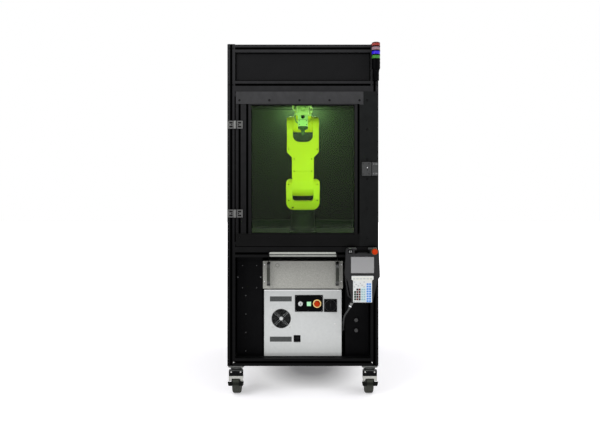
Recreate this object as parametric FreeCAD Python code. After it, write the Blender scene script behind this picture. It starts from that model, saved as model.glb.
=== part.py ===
import FreeCAD, Part
import math
import os

# Robotic laser cell: a slotted-bar cabinet on casters with a closed work chamber above an equipment bay.
# Millimetres, +Z up. +X is to the operator's right and -Y towards the operator.
# The origin is on the floor, under the middle of the cabinet frame.

V = FreeCAD.Vector

# Cabinet frame
FRAME_WIDTH = 885.0
FRAME_DEPTH = 1200.0
BAY_HEIGHT = 592.5          # clear height of the equipment bay
DOORWAY_HEIGHT = 854.0      # clear height of the doorway of the work chamber
HEADER_HEIGHT = 168.0       # clear height of the header panel
CASTER_HEIGHT = 183.5       # floor to the underside of the frame
BAR = 45.0                  # side of one cell of the slotted bar
SLOT_MOUTH = 10.0
SLOT_LIP = 4.5
SLOT_CAVITY = 20.0
SLOT_DEPTH = 11.5
SLOT_END_GAP = 1.0          # left between a panel's edge and the bottom of its slot

# Panels and decks
PANEL = 5.0
SHEET = 3.0
DECK_THICKNESS = 12.0
DECK_BELOW_DOORWAY = 6.0    # from the deck's top up to the bottom of the doorway
DECK_EDGE_GAP = 0.5
DECK_CUTOUT_GAP = 1.0       # round the arm's base, which stands on the cross-bars
DECK_BAR_FROM_FRONT = (270.0, 555.0, 705.0, 1000.0)
FIXTURE_SPACING_X = 300.0
FIXTURE_SPACING_Y = 200.0
FIXTURE_HOLE_R = 4.5
KICK_HEIGHT = 60.0
KICK_DEPTH = 54.0
RUNNING_GAP = 0.3           # between faces that move past each other
PIN_GAP = 0.05              # radial clearance of pins and shafts

# Door
DOOR_SIDE_GAP = 4.0
DOOR_END_GAP = 5.0
DOOR_PROUD = 0.5
DOOR_STILE_CELLS = 2
WINDOW_THICKNESS = 6.0
COVER_THICKNESS = 4.0
COVER_TOP_LAP = 27.0        # how far the top cover reaches over the header rail
COVER_BOTTOM_LAP = 25.0
COVER_ON_GLASS = 5.0
COVER_RIGHT_WIDTH = 102.0
COVER_RIGHT_INSET = 8.5     # from the right cover's edge to the side of the cabinet
COVER_SPLIT = 22.0          # how far the top and bottom covers run past the right cover's inner edge
COVER_JOINT = 0.3

# Hinges
HINGE_HEIGHT = 46.0
HINGE_LEAF = 36.0
HINGE_THICKNESS = 6.0
HINGE_KNUCKLE_R = 7.0
HINGE_PIN_R = 3.0
HINGE_PROUD = 8.0           # pivot in front of the frame
HINGE_LEVELS = (0.1955, 0.8044)     # share of the doorway's height

# Interlock
LOCK_LEVEL = 428.0          # centre above the bottom of the doorway
LOCK_HEIGHT = 80.0
LOCK_SWITCH_WIDTH = 36.0
LOCK_SWITCH_DEPTH = 12.0
LOCK_BLOCK_WIDTH = 54.0
LOCK_BLOCK_DEPTH = 12.0
LOCK_GAP = 3.0
LOCK_FROM_SIDE = 4.5        # switch in from the side of the cabinet
LOCK_CORNER = 4.0

# Signal tower
TOWER_R = 24.0
TOWER_MODULE = 24.6
TOWER_CAP = 6.0
TOWER_BASE = 56.6
TOWER_BRACKET = 65.0
TOWER_BELOW_HEADER = 1.0     # foot of the lug below the lower edge of the header panel
TOWER_NECK_R = 10.0
TOWER_LUG = 33.0            # width of the lug that holds the tower to the post
TOWER_FROM_SIDE = 18.0      # axis in from the side of the cabinet
TOWER_PROUD = 32.0          # axis in front of the frame

# Light bar over the bay
BAR_LIGHT_LENGTH = 397.5
BAR_LIGHT_HEIGHT = 26.0
BAR_LIGHT_DEPTH = 12.0
BAR_LIGHT_UP = 5.0          # above the bay's upper edge

# Chamber lamp
LAMP_LENGTH = 350.0
LAMP_WIDTH = 60.0
LAMP_DEPTH = 20.0
LAMP_FROM_FRONT = 750.0

# Equipment bay
BAY_RECESS = 120.0          # equipment and blanking panels behind the front of the frame
COVER_PLATE_HEIGHT = 170.0
GLAND_R = 15.0
GLAND_BARREL_R = 10.0
GLAND_BORE_R = 6.0
GLAND_LENGTH = 26.0
GLAND_FLANGE = 8.0
GLAND_FROM_SIDE = 75.5      # in from the side of the bay's opening
GLAND_LEVELS = (222.0, 160.0)       # above the bay floor

# Controller
CONTROLLER_WIDTH = 470.0
CONTROLLER_HEIGHT = 400.0
CONTROLLER_DEPTH = 322.0
CONTROLLER_WALL = 2.0
CONTROLLER_CORNER = 4.0
CONTROLLER_FOOT = 4.1
FOOT_R = 18.0
FOOT_INSET = 30.0           # foot axis in from the controller's sides
VENT_WIDTH = 131.0
VENT_SLOT = 3.4
VENT_PITCH = 6.4
VENT_COUNT = 5
VENT_X = -133.5             # from the controller's middle
VENT_LEVELS = (344.5, 101.0)        # above the controller's base
FAN_X = -131.0
FAN_LEVEL = 226.0
FAN_BORE_R = 56.0
FAN_FRAME = 119.0
FAN_DEPTH = 38.0
FAN_HUB_R = 20.0
FAN_BLADES = 7
FAN_SHAFT_R = 3.0
FAN_MOTOR = 10.0            # length of the motor behind the impeller
FAN_STRUT = 5.0
FAN_FROM_WALL = 4.0         # impeller behind the front wall
FAN_CUP = 3.0               # front of the impeller's hub, ahead of the shaft
FAN_SHAFT_FROM_WALL = 8.0
FAN_BLADE = 2.4
FAN_CHORD = 34.0
FAN_PITCH = 55.0
GUARD_R = 58.0
GUARD_RIM = 3.0
GUARD_THICKNESS = 2.0
GUARD_SPOKE = 5.0
GUARD_HUB_R = 12.0
GUARD_INNER_SHARE = 0.66    # radius of the inner ring against the outer
PLATE_THICKNESS = 4.0
OPERATOR_WIDTH = 169.0
OPERATOR_HEIGHT = 100.0
OPERATOR_X = 36.5
OPERATOR_LEVEL = 318.0
KEY_X = -14.5
START_X = 36.5
STOP_X = 86.0
KNOB_LEVEL = 316.5
KEY_R = 14.0
KEY_TAB_THICKNESS = 5.0
KEY_TAB_HEIGHT = 18.0
KEY_TAB_PROUD = 9.0
KNOB_RIM = 7.0              # thickness of the turning discs
START_SIZE = 25.0
START_TRAVEL = 3.0
START_THICKNESS = 6.0
STOP_R = 15.0
STOP_TRAVEL = 4.0
STEM_R = 8.0
DISCONNECT_X = 167.0
DISCONNECT_LEVEL = 305.0
DISCONNECT_SIZE = 78.0
DISCONNECT_R = 32.5
HANDLE_GRIP = 14.0
HANDLE_GRIP_PROUD = 17.0
PORT_X = -35.0
PORT_LEVEL = 105.0
PORT_SIZE = 41.0
CONNECTOR_WIDTH = 20.0
CONNECTOR_HEIGHT = 44.0
CONNECTOR_DEPTH = 60.0
CONNECTOR_LEVEL = 161.0      # above the controller's base
CONNECTOR_INSET = 50.0      # behind the controller's front

# Laser source on top of the controller
SOURCE_WIDTH = 482.6
SOURCE_HEIGHT = 166.0
SOURCE_PANEL = 6.0
SOURCE_CHASSIS_WIDTH = 440.0
SOURCE_CHASSIS_DEPTH = 454.0
SOURCE_WALL = 2.5
SOURCE_FOOT = 7.0
SOURCE_EDGE = 4.0           # panel edge past the chassis, above and below
HANDLE_SPREAD = 413.0
HANDLE_HEIGHT = 137.0
HANDLE_WIDTH = 18.0
HANDLE_PROUD = 38.0
HANDLE_BAR = 10.0
HANDLE_UP = 22.0

# Casters
CASTER_PLATE_X = 90.0
CASTER_PLATE_Y = 105.0
CASTER_PLATE_THICKNESS = 8.0
CASTER_FROM_SIDE = 49.0
WHEEL_R = 64.0
WHEEL_WIDTH = 50.0
WHEEL_CROWN = 6.0
WHEEL_DISH = 6.0            # wheel centre in from the sides of the tread
WHEEL_RIM_R = 45.0
WHEEL_BOSS_R = 16.0
WHEEL_TRAIL = 38.0
AXLE_R = 6.0
AXLE_END = 4.0
KING_PIN_R = 8.0
CROWN_R = 43.0
CROWN_FOOT_R = 31.0
CROWN_HEIGHT = 24.0
CROWN_EDGE = 5.0
LEG_HALF = 30.0             # half of the fork's length at its crown
LEG_END_R = 14.0
LEG_THICKNESS = 4.0
LEG_GAP = 2.0
BRAKE_WIDTH = 84.0
BRAKE_HEIGHT = 39.0
BRAKE_DEPTH = 16.0
BRAKE_LUG = 4.0
BRAKE_BELOW_CROWN = 18.0    # top of the brake housing below the crown's top
BRAKE_FRONT = 42.0          # front of the brake housing ahead of the swivel axis
BAND_THICKNESS = 3.0        # arched band in front of the brake housing
BAND_LAP = 4.0              # band over the housing's lower edge
BAND_DROP = 24.0            # foot of the band below the housing
ARCH_HALF = 28.0
ARCH_RISE = 13.0
ARCH_CORNER = 10.0
PEDAL_THICKNESS = 4.0
PEDAL_HALF = 47.5
PEDAL_HEIGHT = 25.0
PEDAL_BELOW_BAND = 2.0
PEDAL_AHEAD = 8.0           # back of the pedal ahead of the brake housing
PEDAL_CORNER = 7.0
PEDAL_TAPER = 4.0           # pedal narrower at its foot, each side
PEDAL_NECK_HALF = 25.0
PEDAL_NECK_GAP = 3.0        # neck below the top of the arch
PEDAL_PIVOT_R = 4.0
PEDAL_SLEEVE = 3.0
PEDAL_PIVOT_DOWN = 7.0      # below the brake housing

# Arm
ARM_Y = 30.0                # axis of the first joint
BASE_SIZE = 190.0
BASE_FLANGE = 30.0
BASE_CORNER = 22.0
BASE_HEIGHT = 165.0
BASE_R = 84.0
BASE_SKIRT = 34.0
BASE_COLLAR = 24.0
OUTLET_HALF = 52.0          # half width of the cable outlet behind the base
OUTLET_HEIGHT = 112.0
OUTLET_PROUD = 32.0
TURRET_WIDTH = 222.0
TURRET_FLOOR = 59.0
SHOULDER_RISE = 149.0       # second axis above the turret's underside
SHOULDER_FORWARD = 50.0
EAR_R = 60.0
EAR_GAP_WIDTH = 142.0
UPPER_LENGTH = 431.0        # second axis to third axis
UPPER_BARREL_R = 55.0
UPPER_BEAM_WIDTH = 146.0
UPPER_WAIST = 43.0
YOKE_WIDTH = 213.0
YOKE_GAP_WIDTH = 135.0
YOKE_R = 51.0
YOKE_FLARE = 192.0          # where the yoke reaches its full width, below the third axis
YOKE_SLOT = 124.0           # bottom of the yoke's slot below the third axis
ELBOW_R = 56.0
FOREARM_RISE = 35.0         # fourth axis above the third
FOREARM_HOUSING_R = 50.0
FOREARM_HOUSING_FRONT = 78.0
FOREARM_HOUSING_REAR = 105.0
FOREARM_R = 47.0
FOREARM_END_R = 36.0        # where the prongs of the wrist start
FOREARM_NECK = 48.0         # prongs' root behind the wrist barrel
FOREARM_LENGTH = 335.0      # third axis to fifth axis, level
PRONG_R = 34.0
PRONG_THICKNESS = 18.0
WRIST_R = 32.0
WRIST_WIDTH = 59.4
WRIST_DROP = 73.3           # fifth axis to the tool flange
FLANGE_R = 31.5
FLANGE_THICKNESS = 11.7
BRACKET_WIDTH = 60.0
BRACKET_PLATE = 12.0
BRACKET_REACH = 72.0
BRACKET_RISE = 112.0
HEAD_SIZE = 60.0
HEAD_HEIGHT = 100.0
HEAD_TOP = 36.0
HEAD_TOP_WIDTH = 72.0
FITTING_SPREAD = 118.0
FITTING_R = 9.0
NOZZLE_LENGTH = 55.0
NOZZLE_TIP_R = 4.0
HEAD_SOCKET_R = 16.0        # optical socket on top of the head
HEAD_SOCKET = 16.0

# Teach pendant
PENDANT_X = 343.0
PENDANT_BELOW_RAIL = 29.0   # top of the pendant below the doorway
PENDANT_PROUD = 70.0
PENDANT_THICKNESS = 54.0
PENDANT_SLIMMER = 20.0      # by how much the grip is thinner than the top
PENDANT_HEIGHT = 317.0
PENDANT_TOP_HALF = 94.0
PENDANT_WAIST_HALF = 100.0
PENDANT_FOOT_HALF = 58.0
SCREEN_WIDTH = 136.0
SCREEN_HEIGHT = 97.0
SCREEN_DOWN = 48.0
SCREEN_DEPTH = 2.0
KEYPAD_WIDTH = 109.0
KEYPAD_TABS = 126.0
KEYPAD_HEIGHT = 152.0
KEYPAD_DOWN = 159.0
KEYPAD_DEPTH = 2.5
PENDANT_KNOB_X = 70.0
PENDANT_KNOB_DOWN = 19.0
PENDANT_STOP_R = 16.0
PENDANT_STOP_TRAVEL = 4.0
PENDANT_KEY_R = 9.0
PENDANT_STEM_R = 6.0
PENDANT_STEM = 16.0
STEM_WELL = 22.0            # depth of the holes for the stems
ENABLE_WIDTH = 22.0
ENABLE_HEIGHT = 92.0
ENABLE_TRAVEL = 4.0
ENABLE_WELL = 12.0
ENABLE_X = -70.0
ENABLE_DOWN = 143.0
CLEAT_THICKNESS = 3.0
CLEAT_HEIGHT = 10.0
CLEAT_REACH = 13.0          # hook behind the pendant's back
CLEAT_BRIDGE = 5.0
CLEAT_WIDTH = 70.0
CLEAT_DOWN = 96.0
HOLDER_SHEET = 3.0
HOLDER_BELOW = 60.0         # plate below the shelf
HOLDER_ABOVE = 20.0

# Pendant cable: points of its route, from the pendant's gland back to the controller's socket
CORD_DIAMETER = 9.0
CORD_ROUTE = (
    (273.0, -645.0, 541.0),
    (262.0, -645.0, 518.0),
    (240.0, -638.0, 488.0),
    (236.0, -618.0, 440.0),
    (239.0, -575.0, 400.0),
    (245.5, -500.0, 372.0),
    (245.5, -430.0, 372.0),
)
CORD_ARC_SHARE = 0.45       # of the shorter run, taken up by each arc
PENDANT_GLAND_LENGTH = 44.0
PENDANT_GLAND_R = 9.0
PENDANT_GLAND_TAIL = 13.2   # tapered end of the gland

# Levels and faces that follow from the sizes above
HALF_W = FRAME_WIDTH / 2
HALF_D = FRAME_DEPTH / 2
FRONT = -HALF_D
INNER_X = HALF_W - BAR
INNER_Y = HALF_D - BAR
GLAND_X = INNER_X - GLAND_FROM_SIDE
SLOT_X = HALF_W - BAR / 2
SLOT_Y = HALF_D - BAR / 2
GRIP = SLOT_DEPTH - SLOT_END_GAP
BOTTOM_Z = CASTER_HEIGHT
BAY_Z0 = BOTTOM_Z + BAR
BAY_Z1 = BAY_Z0 + BAY_HEIGHT
DOORWAY_Z0 = BAY_Z1 + 2 * BAR
DOORWAY_Z1 = DOORWAY_Z0 + DOORWAY_HEIGHT
HEADER_Z0 = DOORWAY_Z1 + 2 * BAR
HEADER_Z1 = HEADER_Z0 + HEADER_HEIGHT
TOP_Z = HEADER_Z1 + BAR
CHAMBER_Z1 = HEADER_Z0 - BAR
DECK_Z = DOORWAY_Z0 - DECK_BELOW_DOORWAY
BAY_FLOOR_Z = BOTTOM_Z + BAR / 2 - SLOT_MOUTH / 2 + PANEL
BAY_FACE = FRONT + BAY_RECESS
CEILING_Z = HEADER_Z0 - BAR / 2 - SLOT_MOUTH / 2
SIDES = (-1, 1)


# ---------------------------------------------------------------- building blocks
def at(axis, u, v, w):
    """A point: w along the axis, u and v across it, in X, Y, Z order."""
    return {"x": V(w, u, v), "y": V(u, w, v), "z": V(u, v, w)}[axis]


def block(x0, x1, y0, y1, z0, z1):
    return Part.makeBox(x1 - x0, y1 - y0, z1 - z0, V(x0, y0, z0))


def rod(axis, radius, u, v, lo, hi):
    return Part.makeCylinder(radius, hi - lo, at(axis, u, v, lo), at(axis, 0, 0, 1))


def outline(axis, corners, w):
    """A closed wire through corners (u, v, fillet radius) in the plane at w."""
    starts, arcs, ends = [], [], []
    for i, (u, v, radius) in enumerate(corners):
        here = V(u, v, 0)
        before = V(corners[i - 1][0], corners[i - 1][1], 0) - here
        after = V(corners[(i + 1) % len(corners)][0], corners[(i + 1) % len(corners)][1], 0) - here
        before.normalize()
        after.normalize()
        half = before.getAngle(after) / 2
        inward = before + after
        if radius:
            inward.normalize()
        cut = radius / math.tan(half)
        starts.append(here + before * cut)
        ends.append(here + after * cut)
        arcs.append(here + inward * (radius / math.sin(half) - radius) if radius else None)
    edges = []
    for i, arc in enumerate(arcs):
        following = starts[(i + 1) % len(starts)]
        start, end, nxt = (at(axis, p.x, p.y, w) for p in (starts[i], ends[i], following))
        if arc:
            edges.append(Part.Arc(start, at(axis, arc.x, arc.y, w), end).toShape())
        if (nxt - end).Length > 1e-6:
            edges.append(Part.makeLine(end, nxt))
    return Part.Wire(edges)


def prism(axis, corners, lo, hi):
    """The outline through corners (u, v, fillet radius), extruded from lo to hi."""
    return Part.Face(outline(axis, corners, lo)).extrude(at(axis, 0, 0, hi - lo))


def sharp(points):
    return [(u, v, 0) for u, v in points]


def rectangle(u0, u1, v0, v1, radius=0.0):
    return [(u0, v0, radius), (u1, v0, radius), (u1, v1, radius), (u0, v1, radius)]


def mirrored(half):
    """Completes an outline given as its right half, from its bottom to its top."""
    return half + [(-u, v, radius) for u, v, radius in reversed(half)]


def turned(axis, u, v, w, corners):
    """A solid of revolution; corners are (radius, distance along the axis from w, fillet)."""
    solid = Part.Face(outline("y", corners, 0)).revolve(V(0, 0, 0), V(0, 0, 1), 360)
    if axis == "x":
        solid.rotate(V(0, 0, 0), V(0, 1, 0), 90)
    if axis == "y":
        solid.rotate(V(0, 0, 0), V(1, 0, 0), -90)
    solid.translate(at(axis, u, v, w))
    return solid


def fused(first, *others):
    return first.fuse(list(others)).removeSplitter()


def saved(name, *solids):
    """Writes one sub-part, made of one or more separate solids."""
    singles = [s for shape in solids for s in shape.Solids]
    shape = singles[0] if len(singles) == 1 else Part.makeCompound(singles)
    shape.exportStep(os.path.join("parts", name + ".step"))


# ---------------------------------------------------------------- cabinet frame
def slotted_section(cells_u, cells_v):
    """Outline of a slotted bar, from its lower left corner, one slot in each cell of each side."""
    mouth, cavity = SLOT_MOUTH / 2, SLOT_CAVITY / 2
    slot = ((-mouth, 0), (-mouth, SLOT_LIP), (-cavity, SLOT_LIP), (-cavity, SLOT_DEPTH))
    slot += tuple((-along, deep) for along, deep in reversed(slot))
    width, height = cells_u * BAR, cells_v * BAR
    sides = (
        (V(0, 0, 0), V(1, 0, 0), V(0, 1, 0), cells_u),
        (V(width, 0, 0), V(0, 1, 0), V(-1, 0, 0), cells_v),
        (V(width, height, 0), V(-1, 0, 0), V(0, -1, 0), cells_u),
        (V(0, height, 0), V(0, -1, 0), V(1, 0, 0), cells_v),
    )
    points = []
    for start, way, inward, cells in sides:
        points.append(start)
        for cell in range(cells):
            middle = start + way * (BAR * (cell + 0.5))
            points += [middle + way * along + inward * deep for along, deep in slot]
    return points


def bar(axis, u, v, lo, hi, cells_u=1, cells_v=1):
    """A slotted bar along the axis, with the lower corner of its section at u, v."""
    points = slotted_section(cells_u, cells_v)
    return prism(axis, sharp([(u + p.x, v + p.y) for p in points]), lo, hi)


def frame_posts():
    posts = []
    for x in (-HALF_W, INNER_X):
        for y in (-HALF_D, INNER_Y):
            posts.append(bar("z", x, y, BOTTOM_Z, TOP_Z))
    saved("frame_posts", *posts)


def frame_rails():
    rails = []
    for y, header_cells in ((-HALF_D, 2), (INNER_Y, 1)):
        rails.append(bar("x", y, BOTTOM_Z, -INNER_X, INNER_X))
        rails.append(bar("x", y, BAY_Z1, -INNER_X, INNER_X, 1, 2))
        rails.append(bar("x", y, HEADER_Z0 - header_cells * BAR, -INNER_X, INNER_X, 1, header_cells))
        rails.append(bar("x", y, HEADER_Z1, -INNER_X, INNER_X))
    for x in (-HALF_W, INNER_X):
        rails.append(bar("y", x, BOTTOM_Z, -INNER_Y, INNER_Y))
        rails.append(bar("y", x, BAY_Z1, -INNER_Y, INNER_Y, 1, 2))
        rails.append(bar("y", x, CHAMBER_Z1, -INNER_Y, INNER_Y))
        rails.append(bar("y", x, HEADER_Z1, -INNER_Y, INNER_Y))
    for distance in DECK_BAR_FROM_FRONT:
        y = FRONT + distance
        rails.append(bar("x", y - BAR / 2, DECK_Z - DECK_THICKNESS - BAR, -INNER_X, INNER_X))
    saved("frame_rails", *rails)


# ---------------------------------------------------------------- panels
def slotted_panel(axis, half_span, plane, z0, z1):
    """A panel held in the slots around an opening, standing on the bottom of the lower slot."""
    corners = rectangle(-half_span - GRIP, half_span + GRIP, z0 - SLOT_DEPTH, z1 + GRIP)
    return prism(axis, corners, plane - PANEL / 2, plane + PANEL / 2)


def slotted_sheet(z):
    """A level sheet lying in the slots of four rails, notched round the posts."""
    lap_x, lap_y = INNER_X + GRIP, INNER_Y + GRIP
    points = [
        (-INNER_X, -lap_y), (INNER_X, -lap_y), (INNER_X, -INNER_Y), (lap_x, -INNER_Y),
        (lap_x, INNER_Y), (INNER_X, INNER_Y), (INNER_X, lap_y), (-INNER_X, lap_y),
        (-INNER_X, INNER_Y), (-lap_x, INNER_Y), (-lap_x, -INNER_Y), (-INNER_X, -INNER_Y),
    ]
    return prism("z", sharp(points), z, z + PANEL)


def header_panel():
    saved("header_panel", slotted_panel("y", INNER_X, -SLOT_Y, HEADER_Z0, HEADER_Z1))


def side_panels():
    panels = []
    for side in SIDES:
        for z0, z1 in ((BAY_Z0, BAY_Z1), (DOORWAY_Z0, CHAMBER_Z1), (HEADER_Z0, HEADER_Z1)):
            panels.append(slotted_panel("x", INNER_Y, side * SLOT_X, z0, z1))
    saved("side_panels", *panels)


def rear_panels():
    panels = []
    for z0, z1 in ((BAY_Z0, BAY_Z1), (DOORWAY_Z0, CHAMBER_Z1), (HEADER_Z0, HEADER_Z1)):
        panels.append(slotted_panel("y", INNER_X, SLOT_Y, z0, z1))
    back = INNER_Y - DECK_EDGE_GAP
    face = back - KICK_DEPTH
    foot = DECK_Z - DECK_THICKNESS
    kick = sharp([
        (face, foot), (face + SHEET, foot), (face + SHEET, DECK_Z + KICK_HEIGHT - SHEET),
        (back, DECK_Z + KICK_HEIGHT - SHEET), (back, DECK_Z + KICK_HEIGHT), (face, DECK_Z + KICK_HEIGHT),
    ])
    panels.append(prism("x", kick, -INNER_X + DECK_EDGE_GAP, INNER_X - DECK_EDGE_GAP))
    saved("rear_panels", *panels)


def roof_and_ceiling():
    roof = slotted_sheet(TOP_Z - BAR / 2 - SLOT_MOUTH / 2)
    saved("roof_and_ceiling", roof, slotted_sheet(CEILING_Z))


def work_deck():
    x, y = INNER_X - DECK_EDGE_GAP, INNER_Y - DECK_EDGE_GAP
    under = DECK_Z - DECK_THICKNESS
    deck = block(-x, x, -y, y - KICK_DEPTH - DECK_EDGE_GAP, under, DECK_Z)
    half = BASE_SIZE / 2 + DECK_CUTOUT_GAP
    corners = rectangle(-half, half, ARM_Y - half, ARM_Y + half, BASE_CORNER + DECK_CUTOUT_GAP)
    middle = FRONT + DECK_BAR_FROM_FRONT[0]
    holes = []
    for hole_x in (-FIXTURE_SPACING_X / 2, FIXTURE_SPACING_X / 2):
        for hole_y in (middle - FIXTURE_SPACING_Y / 2, middle + FIXTURE_SPACING_Y / 2):
            holes.append(rod("z", FIXTURE_HOLE_R, hole_x, hole_y, under, DECK_Z))
    saved("work_deck", deck.cut(holes + [prism("z", corners, under, DECK_Z)]))


def bay_panels():
    floor = slotted_sheet(BAY_FLOOR_Z - PANEL)
    edge = SOURCE_WIDTH / 2 + SHEET
    cable_way = CONTROLLER_WIDTH / 2 + CONNECTOR_WIDTH + 1.0
    y0, y1 = BAY_FACE, BAY_FACE + SHEET
    seam = GLAND_LEVELS[1] + BAY_FLOOR_Z - 2 * GLAND_R
    left = block(-INNER_X, -edge, y0, y1, BAY_FLOOR_Z, BAY_Z1)
    raised_z1 = BAY_FLOOR_Z + CONTROLLER_FOOT + CONTROLLER_HEIGHT + SOURCE_FOOT + SOURCE_HEIGHT
    raised = block(-INNER_X + SHEET, -edge - SHEET, y0 - SHEET, y0, raised_z1 - COVER_PLATE_HEIGHT, raised_z1)
    lower = block(cable_way, INNER_X, y0, y1, BAY_FLOOR_Z, seam)
    upper = block(cable_way, INNER_X, y0, y1, seam, BAY_Z1)
    holes = [rod("y", GLAND_BARREL_R + PIN_GAP, GLAND_X, BAY_FLOOR_Z + z, y0, y1) for z in GLAND_LEVELS]
    saved("bay_panels", floor, left, raised, lower, upper.cut(holes))


def cable_glands():
    glands = []
    for level in GLAND_LEVELS:
        profile = [
            (GLAND_BORE_R, -GLAND_FLANGE, 0), (GLAND_R - 3, -GLAND_FLANGE, 0),
            (GLAND_R, -GLAND_FLANGE + 3, 0), (GLAND_R, 0, 0), (GLAND_BARREL_R, 0, 0),
            (GLAND_BARREL_R, GLAND_LENGTH - GLAND_FLANGE, 0),
            (GLAND_BORE_R, GLAND_LENGTH - GLAND_FLANGE, 0),
        ]
        glands.append(turned("y", GLAND_X, BAY_FLOOR_Z + level, BAY_FACE, profile))
    saved("cable_glands", *glands)


def bay_light_bar():
    left, right = -BAR_LIGHT_LENGTH / 2, BAR_LIGHT_LENGTH / 2
    z0 = BAY_Z1 + BAR_LIGHT_UP
    z1 = z0 + BAR_LIGHT_HEIGHT
    corners = [(left, z0, 11), (right, z0, 2), (right - 8, z1, 2), (left, z1, 11)]
    saved("bay_light_bar", prism("y", corners, FRONT - BAR_LIGHT_DEPTH, FRONT))


def chamber_light():
    y = FRONT + LAMP_FROM_FRONT
    z0 = CEILING_Z - LAMP_DEPTH
    section = [
        (y - LAMP_WIDTH / 2, CEILING_Z, 0), (y - LAMP_WIDTH / 2, z0 + 8, 0), (y - LAMP_WIDTH / 2 + 10, z0, 0),
        (y + LAMP_WIDTH / 2 - 10, z0, 0), (y + LAMP_WIDTH / 2, z0 + 8, 0), (y + LAMP_WIDTH / 2, CEILING_Z, 0),
    ]
    saved("chamber_light", prism("x", section, -LAMP_LENGTH / 2, LAMP_LENGTH / 2))


# ---------------------------------------------------------------- door
DOOR_X = INNER_X - DOOR_SIDE_GAP
DOOR_Z0 = DOORWAY_Z0 + DOOR_END_GAP
DOOR_Z1 = DOORWAY_Z1 - DOOR_END_GAP
DOOR_FRONT = FRONT - DOOR_PROUD
PANE_X = DOOR_X - DOOR_STILE_CELLS * BAR
PANE_Z0 = DOOR_Z0 + BAR
PANE_Z1 = DOOR_Z1 - BAR
PANE_Y = DOOR_FRONT + BAR / 2
COVER_FRONT = DOOR_FRONT - COVER_THICKNESS


def door_frame():
    members = []
    for x in (-DOOR_X, PANE_X):
        members.append(bar("z", x, DOOR_FRONT, DOOR_Z0, DOOR_Z1, DOOR_STILE_CELLS, 1))
    for z in (DOOR_Z0, PANE_Z1):
        members.append(bar("x", DOOR_FRONT, z, -PANE_X, PANE_X))
    saved("door_frame", *members)


def door_window():
    corners = rectangle(-PANE_X - GRIP, PANE_X + GRIP, PANE_Z0 - SLOT_DEPTH, PANE_Z1 + GRIP)
    pane = prism("y", corners, PANE_Y - WINDOW_THICKNESS / 2, PANE_Y + WINDOW_THICKNESS / 2)
    saved("door_window", pane)


def door_cover_plates():
    """Sheet covers that lap over the frame round the door, so that no light gets past it."""
    right = HALF_W - COVER_RIGHT_INSET
    inner = right - COVER_RIGHT_WIDTH
    split = inner + COVER_SPLIT
    left = -DOOR_X + 1.5
    top_z0, top_z1 = PANE_Z1 + COVER_ON_GLASS, DOORWAY_Z1 + COVER_TOP_LAP
    low_z0, low_z1 = DOORWAY_Z0 - COVER_BOTTOM_LAP, PANE_Z0 - COVER_ON_GLASS / 5
    notch = HALF_W - LOCK_FROM_SIDE - LOCK_SWITCH_WIDTH - LOCK_GAP
    middle = DOORWAY_Z0 + LOCK_LEVEL
    notch_z0, notch_z1 = middle - LOCK_HEIGHT / 2 - LOCK_GAP, middle + LOCK_HEIGHT / 2 + LOCK_GAP
    post_cover = sharp([
        (split + COVER_JOINT, low_z0), (right, low_z0), (right, notch_z0), (notch, notch_z0),
        (notch, notch_z1), (right, notch_z1), (right, top_z1), (split + COVER_JOINT, top_z1),
        (split + COVER_JOINT, top_z0 - COVER_JOINT), (inner, top_z0 - COVER_JOINT),
        (inner, low_z1 + COVER_JOINT), (split + COVER_JOINT, low_z1 + COVER_JOINT),
    ])
    plates = [
        prism("y", rectangle(left, split, top_z0, top_z1), COVER_FRONT, DOOR_FRONT),
        prism("y", rectangle(left, split, low_z0, low_z1), COVER_FRONT, DOOR_FRONT),
        prism("y", post_cover, COVER_FRONT, DOOR_FRONT),
    ]
    saved("door_cover_plates", *plates)


# ---------------------------------------------------------------- hinges and interlock
HINGE_X = -INNER_X + DOOR_SIDE_GAP / 2
HINGE_Y = FRONT - HINGE_PROUD
HINGE_THIRD = HINGE_HEIGHT / 3


def hinge_levels():
    return [DOORWAY_Z0 + share * DOORWAY_HEIGHT for share in HINGE_LEVELS]


def hinge_leaf(side, back, middle, spans, bore):
    """One leaf: a plate beside the pivot, with a knuckle and its web at each of the spans."""
    clear = HINGE_KNUCKLE_R + DOOR_PROUD
    near, far = HINGE_X + side * clear, HINGE_X + side * (clear + HINGE_LEAF)
    z0, z1 = middle - HINGE_HEIGHT / 2, middle + HINGE_HEIGHT / 2
    pieces = []
    for low, high in spans:
        pieces.append(rod("z", HINGE_KNUCKLE_R, HINGE_X, HINGE_Y, low, high))
        x0, x1 = sorted((HINGE_X, near))
        pieces.append(block(x0, x1, back - HINGE_THICKNESS, back - 1.0, low, high))
    plate = prism(
        "y", rectangle(min(near, far), max(near, far), z0, z1, 3), back - HINGE_THICKNESS, back
    )
    return fused(plate, *pieces).cut(rod("z", bore, HINGE_X, HINGE_Y, z0, z1))


def hinges():
    frame_leaves, door_leaves = [], []
    for middle in hinge_levels():
        z0, z1 = middle - HINGE_HEIGHT / 2, middle + HINGE_HEIGHT / 2
        inner = (middle - HINGE_THIRD / 2, middle + HINGE_THIRD / 2)
        outer = ((z0, inner[0] - RUNNING_GAP), (inner[1] + RUNNING_GAP, z1))
        leaf = hinge_leaf(-1, FRONT, middle, (inner,), HINGE_PIN_R / 2)
        pin = rod("z", HINGE_PIN_R, HINGE_X, HINGE_Y, z0, z1)
        frame_leaves.append(fused(leaf, pin))
        door_leaves.append(hinge_leaf(1, DOOR_FRONT, middle, outer, HINGE_PIN_R + PIN_GAP))
    saved("hinge_frame_leaves", *frame_leaves)
    saved("hinge_door_leaves", *door_leaves)


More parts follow.
